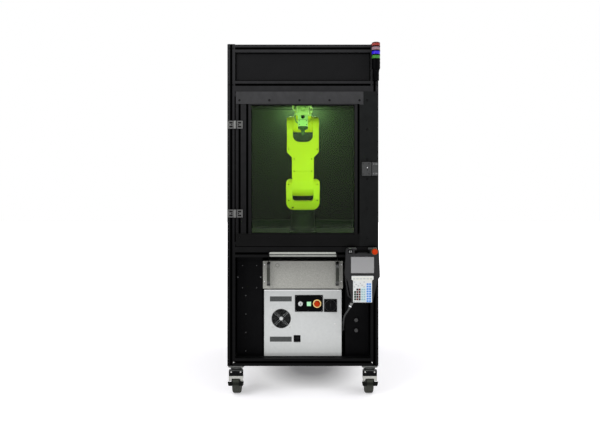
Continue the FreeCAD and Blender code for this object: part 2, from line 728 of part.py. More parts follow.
def interlock():
    """A coded switch on the post and its block on the door cover, side by side."""
    middle = DOORWAY_Z0 + LOCK_LEVEL
    z0, z1 = middle - LOCK_HEIGHT / 2, middle + LOCK_HEIGHT / 2
    x1 = HALF_W - LOCK_FROM_SIDE
    x0 = x1 - LOCK_SWITCH_WIDTH
    switch = prism("y", rectangle(x0, x1, z0, z1, LOCK_CORNER), FRONT - LOCK_SWITCH_DEPTH, FRONT)
    saved("interlock_switch", switch)
    block_x1 = x0 - LOCK_GAP
    corners = rectangle(block_x1 - LOCK_BLOCK_WIDTH, block_x1, z0, z1, LOCK_CORNER)
    saved("interlock_block", prism("y", corners, COVER_FRONT - LOCK_BLOCK_DEPTH, COVER_FRONT))


# ---------------------------------------------------------------- signal tower
def signal_tower():
    x, y = HALF_W - TOWER_FROM_SIDE, FRONT - TOWER_PROUD
    foot_z = HEADER_Z0 - TOWER_BELOW_HEADER
    neck_z = foot_z + TOWER_BRACKET
    top = neck_z + TOWER_BASE + 4 * TOWER_MODULE
    cap = turned("z", x, y, top - TOWER_CAP, [
        (0, 0, 0), (TOWER_R, 0, 0), (TOWER_R, TOWER_CAP / 2, 0), (TOWER_R - TOWER_CAP, TOWER_CAP, 0),
        (0, TOWER_CAP, 0),
    ])
    z = top - TOWER_CAP
    for colour in ("red", "white", "blue", "green"):
        height = TOWER_MODULE - (TOWER_CAP if colour == "red" else 0)
        z -= height
        profile = [
            (0, 0, 0), (TOWER_R - 2, 0, 0), (TOWER_R - 2, 3, 0), (TOWER_R, 3, 0),
            (TOWER_R, height, 0), (0, height, 0),
        ]
        saved("stack_light_" + colour, turned("z", x, y, z, profile))
    base = rod("z", TOWER_R, x, y, neck_z, z)
    neck = turned("z", x, y, foot_z, [
        (0, 0, 0), (TOWER_NECK_R, 0, 0), (TOWER_R - 3, TOWER_BRACKET, 0), (0, TOWER_BRACKET, 0),
    ])
    lug = block(x - TOWER_LUG / 2, HALF_W, y, FRONT, foot_z, foot_z + TOWER_BRACKET - 12)
    saved("stack_light_base", fused(base, neck, lug), cap)


# ---------------------------------------------------------------- controller
CONTROLLER_Z0 = BAY_FLOOR_Z + CONTROLLER_FOOT
CONTROLLER_Z1 = CONTROLLER_Z0 + CONTROLLER_HEIGHT
CONTROLLER_X = CONTROLLER_WIDTH / 2
CONTROLLER_BACK = BAY_FACE + CONTROLLER_DEPTH
PLATE_FACE = BAY_FACE - PLATE_THICKNESS
FAN_Z = CONTROLLER_Z0 + FAN_LEVEL
KNOB_Z = CONTROLLER_Z0 + KNOB_LEVEL


def bay_feet(z0, z1):
    """Four feet near the controller's corners, seen from above."""
    x = CONTROLLER_X - FOOT_INSET
    levels = (BAY_FACE + FOOT_INSET, CONTROLLER_BACK - FOOT_INSET)
    return [rod("z", FOOT_R, side * x, y, z0, z1) for side in SIDES for y in levels]


def fan_frame():
    """Square fan frame behind the front wall, with its motor on four struts at the back."""
    y0 = BAY_FACE + CONTROLLER_WALL
    y1 = y0 + FAN_DEPTH
    half = FAN_FRAME / 2
    frame = prism("y", rectangle(FAN_X - half, FAN_X + half, FAN_Z - half, FAN_Z + half, 6), y0, y1)
    frame = frame.cut(rod("y", FAN_BORE_R + 1, FAN_X, FAN_Z, y0, y1))
    motor = rod("y", FAN_HUB_R, FAN_X, FAN_Z, y1 - FAN_MOTOR, y1)
    shaft = rod("y", FAN_SHAFT_R, FAN_X, FAN_Z, y0 + FAN_SHAFT_FROM_WALL, y1)
    reach, strut = half - 1, FAN_STRUT / 2
    across = block(FAN_X - reach, FAN_X + reach, y1 - FAN_STRUT, y1, FAN_Z - strut, FAN_Z + strut)
    upright = block(FAN_X - strut, FAN_X + strut, y1 - FAN_STRUT, y1, FAN_Z - reach, FAN_Z + reach)
    return fused(frame, motor, shaft, across, upright)


def controller_case():
    wall = CONTROLLER_WALL
    shell = prism(
        "z", rectangle(-CONTROLLER_X, CONTROLLER_X, BAY_FACE, CONTROLLER_BACK, CONTROLLER_CORNER),
        CONTROLLER_Z0, CONTROLLER_Z1,
    )
    cavity = block(
        -CONTROLLER_X + wall, CONTROLLER_X - wall, BAY_FACE + wall, CONTROLLER_BACK - wall,
        CONTROLLER_Z0 + wall, CONTROLLER_Z1 - wall,
    )
    cuts = [cavity, rod("y", FAN_BORE_R, FAN_X, FAN_Z, BAY_FACE, BAY_FACE + wall)]
    for level in VENT_LEVELS:
        for i in range(VENT_COUNT):
            z = CONTROLLER_Z0 + level + (i - (VENT_COUNT - 1) / 2) * VENT_PITCH
            x0, x1 = VENT_X - VENT_WIDTH / 2, VENT_X + VENT_WIDTH / 2
            cuts.append(block(x0, x1, BAY_FACE, BAY_FACE + wall, z - VENT_SLOT / 2, z + VENT_SLOT / 2))
    for x in (KEY_X, START_X, STOP_X):
        cuts.append(rod("y", STEM_R + 2, x, KNOB_Z, BAY_FACE, BAY_FACE + wall))
    connector_y = BAY_FACE + CONNECTOR_INSET
    connector_z = CONTROLLER_Z0 + CONNECTOR_LEVEL
    connector = block(
        CONTROLLER_X, CONTROLLER_X + CONNECTOR_WIDTH, connector_y, connector_y + CONNECTOR_DEPTH,
        connector_z - CONNECTOR_HEIGHT / 2, connector_z + CONNECTOR_HEIGHT / 2,
    )
    pads = bay_feet(BAY_FLOOR_Z, CONTROLLER_Z0)
    saved("controller_case", shell.cut(cuts), fan_frame(), connector, *pads)


def controller_fan():
    """Impeller: a hub cup on the motor's shaft, with pitched blades."""
    y0 = BAY_FACE + CONTROLLER_WALL + FAN_FROM_WALL
    y1 = BAY_FACE + CONTROLLER_WALL + FAN_DEPTH - FAN_MOTOR - RUNNING_GAP
    hub = rod("y", FAN_HUB_R, FAN_X, FAN_Z, y0, y1)
    reach = FAN_BORE_R - 2
    blades = []
    for i in range(FAN_BLADES):
        blade = block(FAN_HUB_R - 2, reach, -FAN_BLADE / 2, FAN_BLADE / 2, -FAN_CHORD / 2, FAN_CHORD / 2)
        blade.rotate(V(0, 0, 0), V(1, 0, 0), FAN_PITCH)
        blade.rotate(V(0, 0, 0), V(0, 1, 0), 360.0 * i / FAN_BLADES)
        blade.translate(V(FAN_X, (y0 + y1) / 2, FAN_Z))
        blades.append(blade)
    disc = rod("y", reach, FAN_X, FAN_Z, y0, y1)
    wheel = hub.fuse(blades).common(disc)
    saved("controller_fan", wheel.cut(rod("y", FAN_SHAFT_R + PIN_GAP, FAN_X, FAN_Z, y0 + FAN_CUP, y1)))


def controller_fan_guard():
    y0, y1 = BAY_FACE - GUARD_THICKNESS, BAY_FACE
    rings = []
    for outer in (GUARD_R, GUARD_R * GUARD_INNER_SHARE):
        ring = rod("y", outer, FAN_X, FAN_Z, y0, y1)
        rings.append(ring.cut(rod("y", outer - GUARD_RIM, FAN_X, FAN_Z, y0, y1)))
    hub = rod("y", GUARD_HUB_R, FAN_X, FAN_Z, y0, y1)
    spokes = []
    for angle in (45, 135):
        spoke = block(-GUARD_R + 1, GUARD_R - 1, y0, y1, -GUARD_SPOKE / 2, GUARD_SPOKE / 2)
        spoke.rotate(V(0, 0, 0), V(0, 1, 0), angle)
        spoke.translate(V(FAN_X, 0, FAN_Z))
        spokes.append(spoke)
    saved("controller_fan_guard", fused(rings[0], rings[1], hub, *spokes))


def controller_switch_plates():
    mid = CONTROLLER_Z0 + OPERATOR_LEVEL
    operator = prism(
        "y",
        rectangle(
            OPERATOR_X - OPERATOR_WIDTH / 2, OPERATOR_X + OPERATOR_WIDTH / 2,
            mid - OPERATOR_HEIGHT / 2, mid + OPERATOR_HEIGHT / 2, 3,
        ),
        PLATE_FACE, BAY_FACE,
    )
    holes = [rod("y", STEM_R + PIN_GAP, x, KNOB_Z, PLATE_FACE, BAY_FACE) for x in (KEY_X, START_X, STOP_X)]
    mid = CONTROLLER_Z0 + DISCONNECT_LEVEL
    half = DISCONNECT_SIZE / 2
    corners = rectangle(DISCONNECT_X - half, DISCONNECT_X + half, mid - half, mid + half, 3)
    disconnect = prism("y", corners, PLATE_FACE, BAY_FACE)
    disconnect = disconnect.cut(rod("y", STEM_R + PIN_GAP, DISCONNECT_X, mid, PLATE_FACE, BAY_FACE))
    mid = CONTROLLER_Z0 + PORT_LEVEL
    half = PORT_SIZE / 2
    corners = rectangle(PORT_X - half, PORT_X + half, mid - half, mid + half, 2)
    port = prism("y", corners, BAY_FACE - SHEET, BAY_FACE)
    saved("controller_switch_plates", operator.cut(holes), disconnect, port)


def controller_knobs():
    inside = PLATE_THICKNESS + 8
    stop = [
        (0, inside, 0), (STEM_R, inside, 0), (STEM_R, -STOP_TRAVEL - 1, 0), (STOP_R, -STOP_TRAVEL - 1, 0),
        (STOP_R, -STOP_TRAVEL - 7, 0), (STOP_R - 5, -STOP_TRAVEL - 13, 0), (0, -STOP_TRAVEL - 13, 0),
    ]
    saved("controller_estop", turned("y", STOP_X, KNOB_Z, PLATE_FACE, stop))

    cap_back = PLATE_FACE - START_TRAVEL - RUNNING_GAP
    half = START_SIZE / 2
    corners = rectangle(START_X - half, START_X + half, KNOB_Z - half, KNOB_Z + half, 2)
    cap = prism("y", corners, cap_back - START_THICKNESS, cap_back)
    stem = rod("y", STEM_R, START_X, KNOB_Z, cap_back, PLATE_FACE + inside)
    saved("cycle_start_button", fused(cap, stem))

    face = PLATE_FACE - RUNNING_GAP
    rim = face - KNOB_RIM
    key = turned("y", KEY_X, KNOB_Z, face, [
        (0, 0, 0), (KEY_R, 0, 0), (KEY_R, 3 - KNOB_RIM, 0), (KEY_R - 2, -KNOB_RIM, 0), (0, -KNOB_RIM, 0),
    ])
    half, reach = KEY_TAB_THICKNESS / 2, KEY_TAB_HEIGHT / 2
    corners = rectangle(KEY_X - half, KEY_X + half, KNOB_Z - reach, KNOB_Z + reach, 2)
    tab = prism("y", corners, rim - KEY_TAB_PROUD, rim)
    stem = rod("y", STEM_R, KEY_X, KNOB_Z, face, PLATE_FACE + inside)
    saved("mode_key_switch", fused(key, tab, stem))

    z = CONTROLLER_Z0 + DISCONNECT_LEVEL
    disc = turned("y", DISCONNECT_X, z, face, [
        (0, 0, 0), (DISCONNECT_R, 0, 0), (DISCONNECT_R, 2 - KNOB_RIM, 0), (DISCONNECT_R - 3, -KNOB_RIM, 0),
        (0, -KNOB_RIM, 0),
    ])
    half, reach = HANDLE_GRIP / 2, DISCONNECT_R - 3
    corners = rectangle(DISCONNECT_X - half, DISCONNECT_X + half, z - reach, z + reach, half - 1)
    grip = prism("y", corners, rim - HANDLE_GRIP_PROUD, rim)
    stem = rod("y", STEM_R, DISCONNECT_X, z, face, BAY_FACE)
    saved("disconnect_handle", fused(disc, grip, stem))


# ---------------------------------------------------------------- laser source
def laser_source():
    z0 = CONTROLLER_Z1 + SOURCE_FOOT
    z1 = z0 + SOURCE_HEIGHT
    panel = prism(
        "y", rectangle(-SOURCE_WIDTH / 2, SOURCE_WIDTH / 2, z0, z1, 2), BAY_FACE, BAY_FACE + SOURCE_PANEL
    )
    y0 = BAY_FACE + SOURCE_PANEL
    y1 = y0 + SOURCE_CHASSIS_DEPTH
    x = SOURCE_CHASSIS_WIDTH / 2
    wall = SOURCE_WALL
    low, high = z0 + SOURCE_EDGE, z1 - SOURCE_EDGE
    chassis = block(-x, x, y0, y1, low, high)
    chassis = chassis.cut(block(-x + wall, x - wall, y0 + wall, y1 - wall, low + wall, high - wall))
    pads = bay_feet(CONTROLLER_Z1, z0 + SOURCE_EDGE)
    saved("laser_source", panel, chassis, *pads)
    handles = []
    low, high = z0 + HANDLE_UP, z0 + HANDLE_UP + HANDLE_HEIGHT
    tip = BAY_FACE - HANDLE_PROUD
    bow = [
        (BAY_FACE, low, 0), (tip, low, 8), (tip, high, 8), (BAY_FACE, high, 0),
        (BAY_FACE, high - HANDLE_BAR, 0), (tip + HANDLE_BAR, high - HANDLE_BAR, 4),
        (tip + HANDLE_BAR, low + HANDLE_BAR, 4), (BAY_FACE, low + HANDLE_BAR, 0),
    ]
    for x in (-HANDLE_SPREAD / 2, HANDLE_SPREAD / 2):
        handles.append(prism("x", bow, x - HANDLE_WIDTH / 2, x + HANDLE_WIDTH / 2))
    saved("laser_source_handles", *handles)


# ---------------------------------------------------------------- casters
CASTER_X = HALF_W - CASTER_FROM_SIDE
CASTER_Y = HALF_D - CASTER_PLATE_Y / 2
PLATE_UNDER = CASTER_HEIGHT - CASTER_PLATE_THICKNESS
CROWN_TOP = PLATE_UNDER - RUNNING_GAP
LEG_X = WHEEL_WIDTH / 2 + LEG_GAP
BRAKE_TOP = CROWN_TOP - BRAKE_BELOW_CROWN
PEDAL_PIVOT_Z = BRAKE_TOP - BRAKE_HEIGHT - PEDAL_PIVOT_DOWN
BAND_Z = BRAKE_TOP - BRAKE_HEIGHT - BAND_DROP
ARCH_Z = BAND_Z + ARCH_RISE


def caster_fork(x, y, braked):
    crown_low = CROWN_TOP - CROWN_HEIGHT
    wheel_y = y + WHEEL_TRAIL
    crown = turned("z", x, y, crown_low, [
        (0, 0, 0), (CROWN_FOOT_R, 0, 0), (CROWN_R, CROWN_HEIGHT - 2 * CROWN_EDGE, 0),
        (CROWN_R, CROWN_HEIGHT - CROWN_EDGE, 0), (CROWN_R - CROWN_EDGE, CROWN_HEIGHT, 0),
        (0, CROWN_HEIGHT, 0),
    ])
    king_pin = rod("z", KING_PIN_R, x, y, CROWN_TOP - 1, CASTER_HEIGHT - 1)
    outer = LEG_X + LEG_THICKNESS
    y0, y1 = y - LEG_HALF, y + LEG_HALF
    bridge = block(x - outer, x + outer, y0, y1, crown_low - LEG_THICKNESS, crown_low)
    leg = [
        (y0, crown_low, 0), (y0, crown_low - 22, 10),
        (wheel_y - LEG_END_R, WHEEL_R - LEG_END_R, LEG_END_R - 1),
        (wheel_y + LEG_END_R, WHEEL_R - LEG_END_R, LEG_END_R - 1),
        (y1 + 12, crown_low - 30, 10), (y1, crown_low, 0),
    ]
    legs = [prism("x", leg, x + LEG_X, x + outer), prism("x", leg, x - outer, x - LEG_X)]
    axle = rod("x", AXLE_R, wheel_y, WHEEL_R, x - outer - AXLE_END, x + outer + AXLE_END)
    pieces = [king_pin, bridge, axle, *legs]
    if braked:
        front = y - BRAKE_FRONT
        back = front + BRAKE_DEPTH
        z0 = BRAKE_TOP - BRAKE_HEIGHT
        half = BRAKE_WIDTH / 2
        pieces.append(prism("y", rectangle(x - half, x + half, z0, BRAKE_TOP, 3), front, back))
        lug_z = PEDAL_PIVOT_Z - PEDAL_PIVOT_R - 2
        lug = [(front, lug_z, 5), (back, lug_z, 5), (back, z0 + 2, 0), (front, z0 + 2, 0)]
        for side in SIDES:
            x0, x1 = sorted((x + side * half, x + side * (half - BRAKE_LUG)))
            pieces.append(prism("x", lug, x0, x1))
        pieces.append(rod("x", PEDAL_PIVOT_R, front + BRAKE_DEPTH / 2, PEDAL_PIVOT_Z, x - half, x + half))
        band = [
            (x - half, BAND_Z, 0), (x - half, z0 + BAND_LAP, 0), (x + half, z0 + BAND_LAP, 0),
            (x + half, BAND_Z, 0), (x + ARCH_HALF, BAND_Z, 0), (x + ARCH_HALF, ARCH_Z, ARCH_CORNER),
            (x - ARCH_HALF, ARCH_Z, ARCH_CORNER), (x - ARCH_HALF, BAND_Z, 0),
        ]
        pieces.append(prism("y", band, front - BAND_THICKNESS, front))
    return fused(crown, *pieces)


def caster_wheel(x, y):
    half, web, crown = WHEEL_WIDTH / 2, WHEEL_WIDTH / 2 - WHEEL_DISH, WHEEL_CROWN
    hub = half + LEG_GAP - RUNNING_GAP
    bore, boss, rim = AXLE_R + PIN_GAP, WHEEL_BOSS_R, WHEEL_RIM_R
    profile = [
        (bore, -hub, 0), (boss, -hub, 0), (boss, -web, 0), (rim, -web, 0), (rim, -half, 0),
        (WHEEL_R - crown, -half, 0), (WHEEL_R, -half + crown, 0), (WHEEL_R, half - crown, 0),
        (WHEEL_R - crown, half, 0), (rim, half, 0), (rim, web, 0), (boss, web, 0), (boss, hub, 0),
        (bore, hub, 0),
    ]
    return turned("x", y + WHEEL_TRAIL, WHEEL_R, x, profile)


def brake_pedal(x, y):
    """Foot plate in front of the wheel, with a neck under the arch back to its pivot."""
    half = BRAKE_WIDTH / 2 - BRAKE_LUG - RUNNING_GAP
    front = y - BRAKE_FRONT
    pivot_y = front + BRAKE_DEPTH / 2
    top = BAND_Z - PEDAL_BELOW_BAND
    neck_z = ARCH_Z - PEDAL_NECK_GAP
    neck, foot = PEDAL_NECK_HALF, PEDAL_HALF - PEDAL_TAPER
    plate = [
        (foot, top - PEDAL_HEIGHT, PEDAL_CORNER), (PEDAL_HALF, top, 2), (neck, top, 1), (neck, neck_z, 3),
    ]
    face = front - PEDAL_AHEAD - PEDAL_THICKNESS
    plate = prism("y", [(x + u, v, r) for u, v, r in mirrored(plate)], face, face + PEDAL_THICKNESS)
    thick = PEDAL_THICKNESS
    shank = sharp([
        (face, neck_z), (face, neck_z - thick), (pivot_y + thick / 2, neck_z - thick),
        (pivot_y + thick / 2, PEDAL_PIVOT_Z), (pivot_y - thick / 2, PEDAL_PIVOT_Z),
        (pivot_y - thick / 2, neck_z),
    ])
    sleeve = rod("x", PEDAL_PIVOT_R + PEDAL_SLEEVE, pivot_y, PEDAL_PIVOT_Z, x - half, x + half)
    pedal = fused(sleeve, prism("x", shank, x - neck, x + neck), plate)
    return pedal.cut(rod("x", PEDAL_PIVOT_R + PIN_GAP, pivot_y, PEDAL_PIVOT_Z, x - half, x + half))


def casters():
    plates = []
    for side, hand in ((-1, "left"), (1, "right")):
        for end, place in ((-1, "front"), (1, "rear")):
            x, y = side * CASTER_X, end * CASTER_Y
            name = place + "_" + hand
            half_x, half_y = CASTER_PLATE_X / 2, CASTER_PLATE_Y / 2
            corners = rectangle(x - half_x, x + half_x, y - half_y, y + half_y, 6)
            plate = prism("z", corners, PLATE_UNDER, CASTER_HEIGHT)
            plates.append(plate.cut(rod("z", KING_PIN_R + PIN_GAP, x, y, PLATE_UNDER, CASTER_HEIGHT)))
            saved("caster_fork_" + name, caster_fork(x, y, place == "front"))
            saved("caster_wheel_" + name, caster_wheel(x, y))
            if place == "front":
                saved("caster_brake_pedal_" + hand, brake_pedal(x, y))
    saved("caster_top_plates", *plates)


# ---------------------------------------------------------------- arm
TURRET_Z = DECK_Z + BASE_HEIGHT + RUNNING_GAP
SHOULDER_Z = TURRET_Z + SHOULDER_RISE
SHOULDER_Y = ARM_Y - SHOULDER_FORWARD
ELBOW_Z = SHOULDER_Z + UPPER_LENGTH
FOREARM_Z = ELBOW_Z + FOREARM_RISE
HOUSING_FRONT = SHOULDER_Y - FOREARM_HOUSING_FRONT
WRIST_Y = SHOULDER_Y - FOREARM_LENGTH
FLANGE_Z = FOREARM_Z - WRIST_DROP


def casting(front, side, width, depth):
    """A casting as the intersection of its front outline and its side outline."""
    return prism("y", front, *depth).common(prism("x", side, *width))


def robot_base():
    half = BASE_SIZE / 2
    waist = BASE_R - 4
    seat = DECK_Z - DECK_THICKNESS
    corners = rectangle(-half, half, ARM_Y - half, ARM_Y + half, BASE_CORNER)
    flange = prism("z", corners, seat, seat + BASE_FLANGE)
    column = turned("z", 0, ARM_Y, DECK_Z, [
        (0, 0, 0), (BASE_R + 3, 0, 0), (BASE_R + 3, BASE_SKIRT, 0), (waist, BASE_SKIRT + 12, 0),
        (waist, BASE_HEIGHT - BASE_COLLAR - 6, 0), (BASE_R, BASE_HEIGHT - BASE_COLLAR, 0),
        (BASE_R, BASE_HEIGHT, 0), (0, BASE_HEIGHT, 0),
    ])
    corners = rectangle(-OUTLET_HALF, OUTLET_HALF, seat + BASE_FLANGE - 2, DECK_Z + OUTLET_HEIGHT, 10)
    outlet = prism("y", corners, ARM_Y, ARM_Y + half + OUTLET_PROUD)
    saved("robot_base", fused(flange, column, outlet))


def robot_turret():
    half, gap, z = TURRET_WIDTH / 2, EAR_GAP_WIDTH / 2, TURRET_Z
    top = SHOULDER_Z + EAR_R
    front = mirrored([(half, z, 52), (half, top, 26), (gap, top, 8), (gap, z + TURRET_FLOOR, 20)])
    radius = EAR_R - 0.1
    side = [
        (ARM_Y - BASE_R - 2, z, 10), (ARM_Y + BASE_R + 2, z, 10), (ARM_Y + BASE_R + 2, SHOULDER_Z - 55, 40),
        (SHOULDER_Y + EAR_R, SHOULDER_Z - 5, 30), (SHOULDER_Y + EAR_R, top, radius),
        (SHOULDER_Y - EAR_R, top, radius), (SHOULDER_Y - EAR_R, SHOULDER_Z - 70, 40),
    ]
    body = casting(front, side, (-half, half), (SHOULDER_Y - 2 * EAR_R, ARM_Y + 2 * BASE_R))
    saved("robot_turret", body)


def robot_lower_arm():
    barrel = EAR_GAP_WIDTH / 2 - RUNNING_GAP
    beam, yoke, slot = UPPER_BEAM_WIDTH / 2, YOKE_WIDTH / 2, YOKE_GAP_WIDTH / 2
    low, high = SHOULDER_Z - UPPER_BARREL_R, ELBOW_Z + YOKE_R
    clear = SHOULDER_Z + EAR_R + 5
    front = mirrored([
        (barrel, low, 14), (barrel, clear, 0), (beam, clear + 4, 0), (beam, ELBOW_Z - YOKE_FLARE - 34, 12),
        (yoke, ELBOW_Z - YOKE_FLARE, 18), (yoke, high, 28), (slot, high, 8), (slot, ELBOW_Z - YOKE_SLOT, 46),
    ])
    side = [
        (UPPER_BARREL_R, low, UPPER_BARREL_R - 0.1), (UPPER_BARREL_R, SHOULDER_Z + 43, 40),
        (UPPER_WAIST, SHOULDER_Z + 111, 60), (UPPER_WAIST, ELBOW_Z - 80, 60), (YOKE_R, ELBOW_Z - 35, 40),
        (YOKE_R, high, YOKE_R - 0.1),
    ]
    side = [(SHOULDER_Y + y, z, radius) for y, z, radius in mirrored(side)]
    depth = (SHOULDER_Y - 2 * EAR_R, SHOULDER_Y + 2 * EAR_R)
    saved("robot_lower_arm", casting(front, side, (-yoke, yoke), depth))


def robot_elbow():
    half = YOKE_GAP_WIDTH / 2 - RUNNING_GAP
    barrel = turned("x", SHOULDER_Y, ELBOW_Z, 0, [
        (0, -half, 0), (ELBOW_R - 4, -half, 0), (ELBOW_R, -half + 6, 0), (ELBOW_R, half - 6, 0),
        (ELBOW_R - 4, half, 0), (0, half, 0),
    ])
    radius = FOREARM_HOUSING_R
    rear = FOREARM_HOUSING_REAR
    housing = turned("y", 0, FOREARM_Z, SHOULDER_Y, [
        (0, -FOREARM_HOUSING_FRONT, 0), (radius, -FOREARM_HOUSING_FRONT, 0), (radius, rear - 16, 0),
        (radius - 10, rear, 0), (0, rear, 0),
    ])
    saved("robot_elbow", fused(barrel, housing))


def robot_forearm():
    start = HOUSING_FRONT - RUNNING_GAP
    neck = WRIST_Y + WRIST_R + FOREARM_NECK
    inner = WRIST_WIDTH / 2 + RUNNING_GAP
    outer = inner + PRONG_THICKNESS
    tube = turned("y", 0, FOREARM_Z, start, [
        (0, 0, 0), (0, neck - start, 0), (FOREARM_END_R, neck - start, 0),
        (FOREARM_END_R + 6, neck - start + 30, 0), (FOREARM_R, -70, 0), (FOREARM_R, 0, 0),
    ])
    prong = [
        (neck + 20, FOREARM_Z - FOREARM_END_R, 12), (WRIST_Y - PRONG_R, FOREARM_Z - PRONG_R, PRONG_R - 0.1),
        (WRIST_Y - PRONG_R, FOREARM_Z + PRONG_R, PRONG_R - 0.1), (neck + 20, FOREARM_Z + FOREARM_END_R, 12),
    ]
    prongs = [prism("x", prong, inner, outer), prism("x", prong, -outer, -inner)]
    saved("robot_forearm", fused(tube, *prongs))


def robot_wrist():
    half = WRIST_WIDTH / 2
    barrel = rod("x", WRIST_R, WRIST_Y, FOREARM_Z, -half, half)
    neck = rod("z", WRIST_R - 3, 0, WRIST_Y, FLANGE_Z + RUNNING_GAP, FOREARM_Z)
    saved("robot_wrist", fused(barrel, neck))


HEAD_Y = WRIST_Y - BRACKET_REACH - HEAD_SIZE / 2
BRACKET_Z0 = FLANGE_Z - FLANGE_THICKNESS - BRACKET_PLATE
HEAD_Z0 = BRACKET_Z0 + BRACKET_PLATE


def tool_bracket():
    flange = rod("z", FLANGE_R, 0, WRIST_Y, FLANGE_Z - FLANGE_THICKNESS, FLANGE_Z)
    y_back, y_front = WRIST_Y + FLANGE_R, WRIST_Y - BRACKET_REACH
    elbow = [
        (y_back, BRACKET_Z0, 6), (y_back, HEAD_Z0, 2), (y_front + BRACKET_PLATE - 2, HEAD_Z0, 8),
        (y_front + BRACKET_PLATE - 2, BRACKET_Z0 + BRACKET_RISE, 2), (y_front, BRACKET_Z0 + BRACKET_RISE, 2),
        (y_front, BRACKET_Z0, 6),
    ]
    plate = prism("x", elbow, -BRACKET_WIDTH / 2, BRACKET_WIDTH / 2)
    saved("tool_bracket", fused(flange, plate))


def laser_head():
    half = HEAD_SIZE / 2
    z0 = HEAD_Z0
    z1 = z0 + HEAD_HEIGHT
    body = prism("z", rectangle(-half, half, HEAD_Y - half, HEAD_Y + half, 6), z0, z1)
    top_half = HEAD_TOP_WIDTH / 2
    top = prism("z", rectangle(-top_half, top_half, HEAD_Y - half, HEAD_Y + half, 6), z1, z1 + HEAD_TOP)
    fittings = rod("x", FITTING_R, HEAD_Y, z1 + 10, -FITTING_SPREAD / 2, FITTING_SPREAD / 2)
    socket = rod("z", HEAD_SOCKET_R, 0, HEAD_Y, z1 + HEAD_TOP, z1 + HEAD_TOP + HEAD_SOCKET)
    nozzle = turned("z", 0, HEAD_Y, z0, [
        (0, 0, 0), (0, -NOZZLE_LENGTH, 0), (NOZZLE_TIP_R, -NOZZLE_LENGTH, 0), (9, 14 - NOZZLE_LENGTH, 0),
        (12, 14 - NOZZLE_LENGTH, 0), (12, -26, 0), (22, -14, 0), (24, 0, 0),
    ])
    saved("laser_head", fused(body, top, fittings, socket, nozzle))


# ---------------------------------------------------------------- teach pendant
PENDANT_TOP = DOORWAY_Z0 - PENDANT_BELOW_RAIL
PENDANT_FRONT = FRONT - PENDANT_PROUD
PENDANT_BACK = PENDANT_FRONT + PENDANT_THICKNESS
PENDANT_KNOB_Z = PENDANT_TOP - PENDANT_KNOB_DOWN


def pendant_outline():
    """Right half of the housing from the front: two ears over a handle slot, a waist and a narrow foot."""
    top, foot = PENDANT_TOP, PENDANT_TOP - PENDANT_HEIGHT
    return [
        (PENDANT_FOOT_HALF, foot, 8), (PENDANT_FOOT_HALF + 5, foot + 26, 20), (86, top - 183, 8),
        (PENDANT_WAIST_HALF, top - 165, 8), (PENDANT_WAIST_HALF, top - 143, 30), (PENDANT_TOP_HALF, top, 18),
        (33, top, 4), (33, top - 10, 2), (46, top - 12, 3), (46, top - 34, 5), (22, top - 29, 40),
    ]


def strap_outline():
    """Hand strap along the lower left edge of the housing."""
    top = PENDANT_TOP
    return [
        (-86, top - 185, 0), (-99, top - 169, 0), (-99, top - 183, 10), (-84, top - 278, 10),
        (-66, top - 292, 3), (-62, top - 286, 0), (-77, top - 274, 6), (-92, top - 189, 4),
    ]


def shifted(corners):
    return [(PENDANT_X + u, v, radius) for u, v, radius in corners]


def pendant_gland(way):
    """Cable gland at the pendant's foot, aimed along the first run of the cable."""
    end = V(*CORD_ROUTE[0])
    start = end - way * PENDANT_GLAND_LENGTH
    shoulder = end - way * PENDANT_GLAND_TAIL
    sleeve = Part.makeCylinder(PENDANT_GLAND_R, PENDANT_GLAND_LENGTH - PENDANT_GLAND_TAIL, start, way)
    tail = Part.makeCone(PENDANT_GLAND_R - 2, CORD_DIAMETER / 2 + 1.5, PENDANT_GLAND_TAIL, shoulder, way)
    return sleeve.fuse(tail)


def pendant_body():
    top, foot = PENDANT_TOP, PENDANT_TOP - PENDANT_HEIGHT
    front, back = PENDANT_FRONT, PENDANT_BACK
    face = prism("y", shifted(mirrored(pendant_outline())), front - 1, back + 1)
    slim = back - PENDANT_SLIMMER
    side = [
        (front, foot, 6), (slim, foot, 12), (slim, top - 183, 20), (back, top - 153, 20), (back, top, 10),
        (front, top, 6),
    ]
    reach = PENDANT_WAIST_HALF + 10
    body = face.common(prism("x", side, PENDANT_X - reach, PENDANT_X + reach))
    half = SCREEN_WIDTH / 2
    z1 = top - SCREEN_DOWN
    pocket = block(PENDANT_X - half, PENDANT_X + half, front, front + SCREEN_DEPTH, z1 - SCREEN_HEIGHT, z1)
    cuts = [pocket]
    for side in SIDES:
        x = PENDANT_X + side * PENDANT_KNOB_X
        cuts.append(rod("y", PENDANT_STEM_R + PIN_GAP, x, PENDANT_KNOB_Z, front, front + STEM_WELL))
    wide, high = ENABLE_WIDTH / 2, ENABLE_HEIGHT / 2
    mid = top - ENABLE_DOWN
    cuts.append(block(
        PENDANT_X + ENABLE_X - wide - RUNNING_GAP, PENDANT_X + ENABLE_X + wide + RUNNING_GAP,
        back - ENABLE_WELL, back + 1, mid - high - RUNNING_GAP, mid + high + RUNNING_GAP,
    ))
    hook_z = top - CLEAT_DOWN
    wide = CLEAT_WIDTH / 2
    thick = CLEAT_THICKNESS
    tip = back + CLEAT_REACH - RUNNING_GAP
    tip_z = hook_z - CLEAT_HEIGHT + 1
    hook = sharp([
        (back - 1, hook_z), (back - 1, hook_z + CLEAT_BRIDGE), (tip, hook_z + CLEAT_BRIDGE), (tip, tip_z),
        (tip - thick, tip_z), (tip - thick, hook_z),
    ])
    cleat = prism("x", hook, PENDANT_X - wide + 1, PENDANT_X + wide - 1)
    way = V(*CORD_ROUTE[1]) - V(*CORD_ROUTE[0])
    way.normalize()
    body = fused(body.cut(cuts), cleat, pendant_gland(way))
    strap = prism("y", shifted(strap_outline()), front + 10, front + 34)
    saved("pendant_body", body, strap.cut(body))


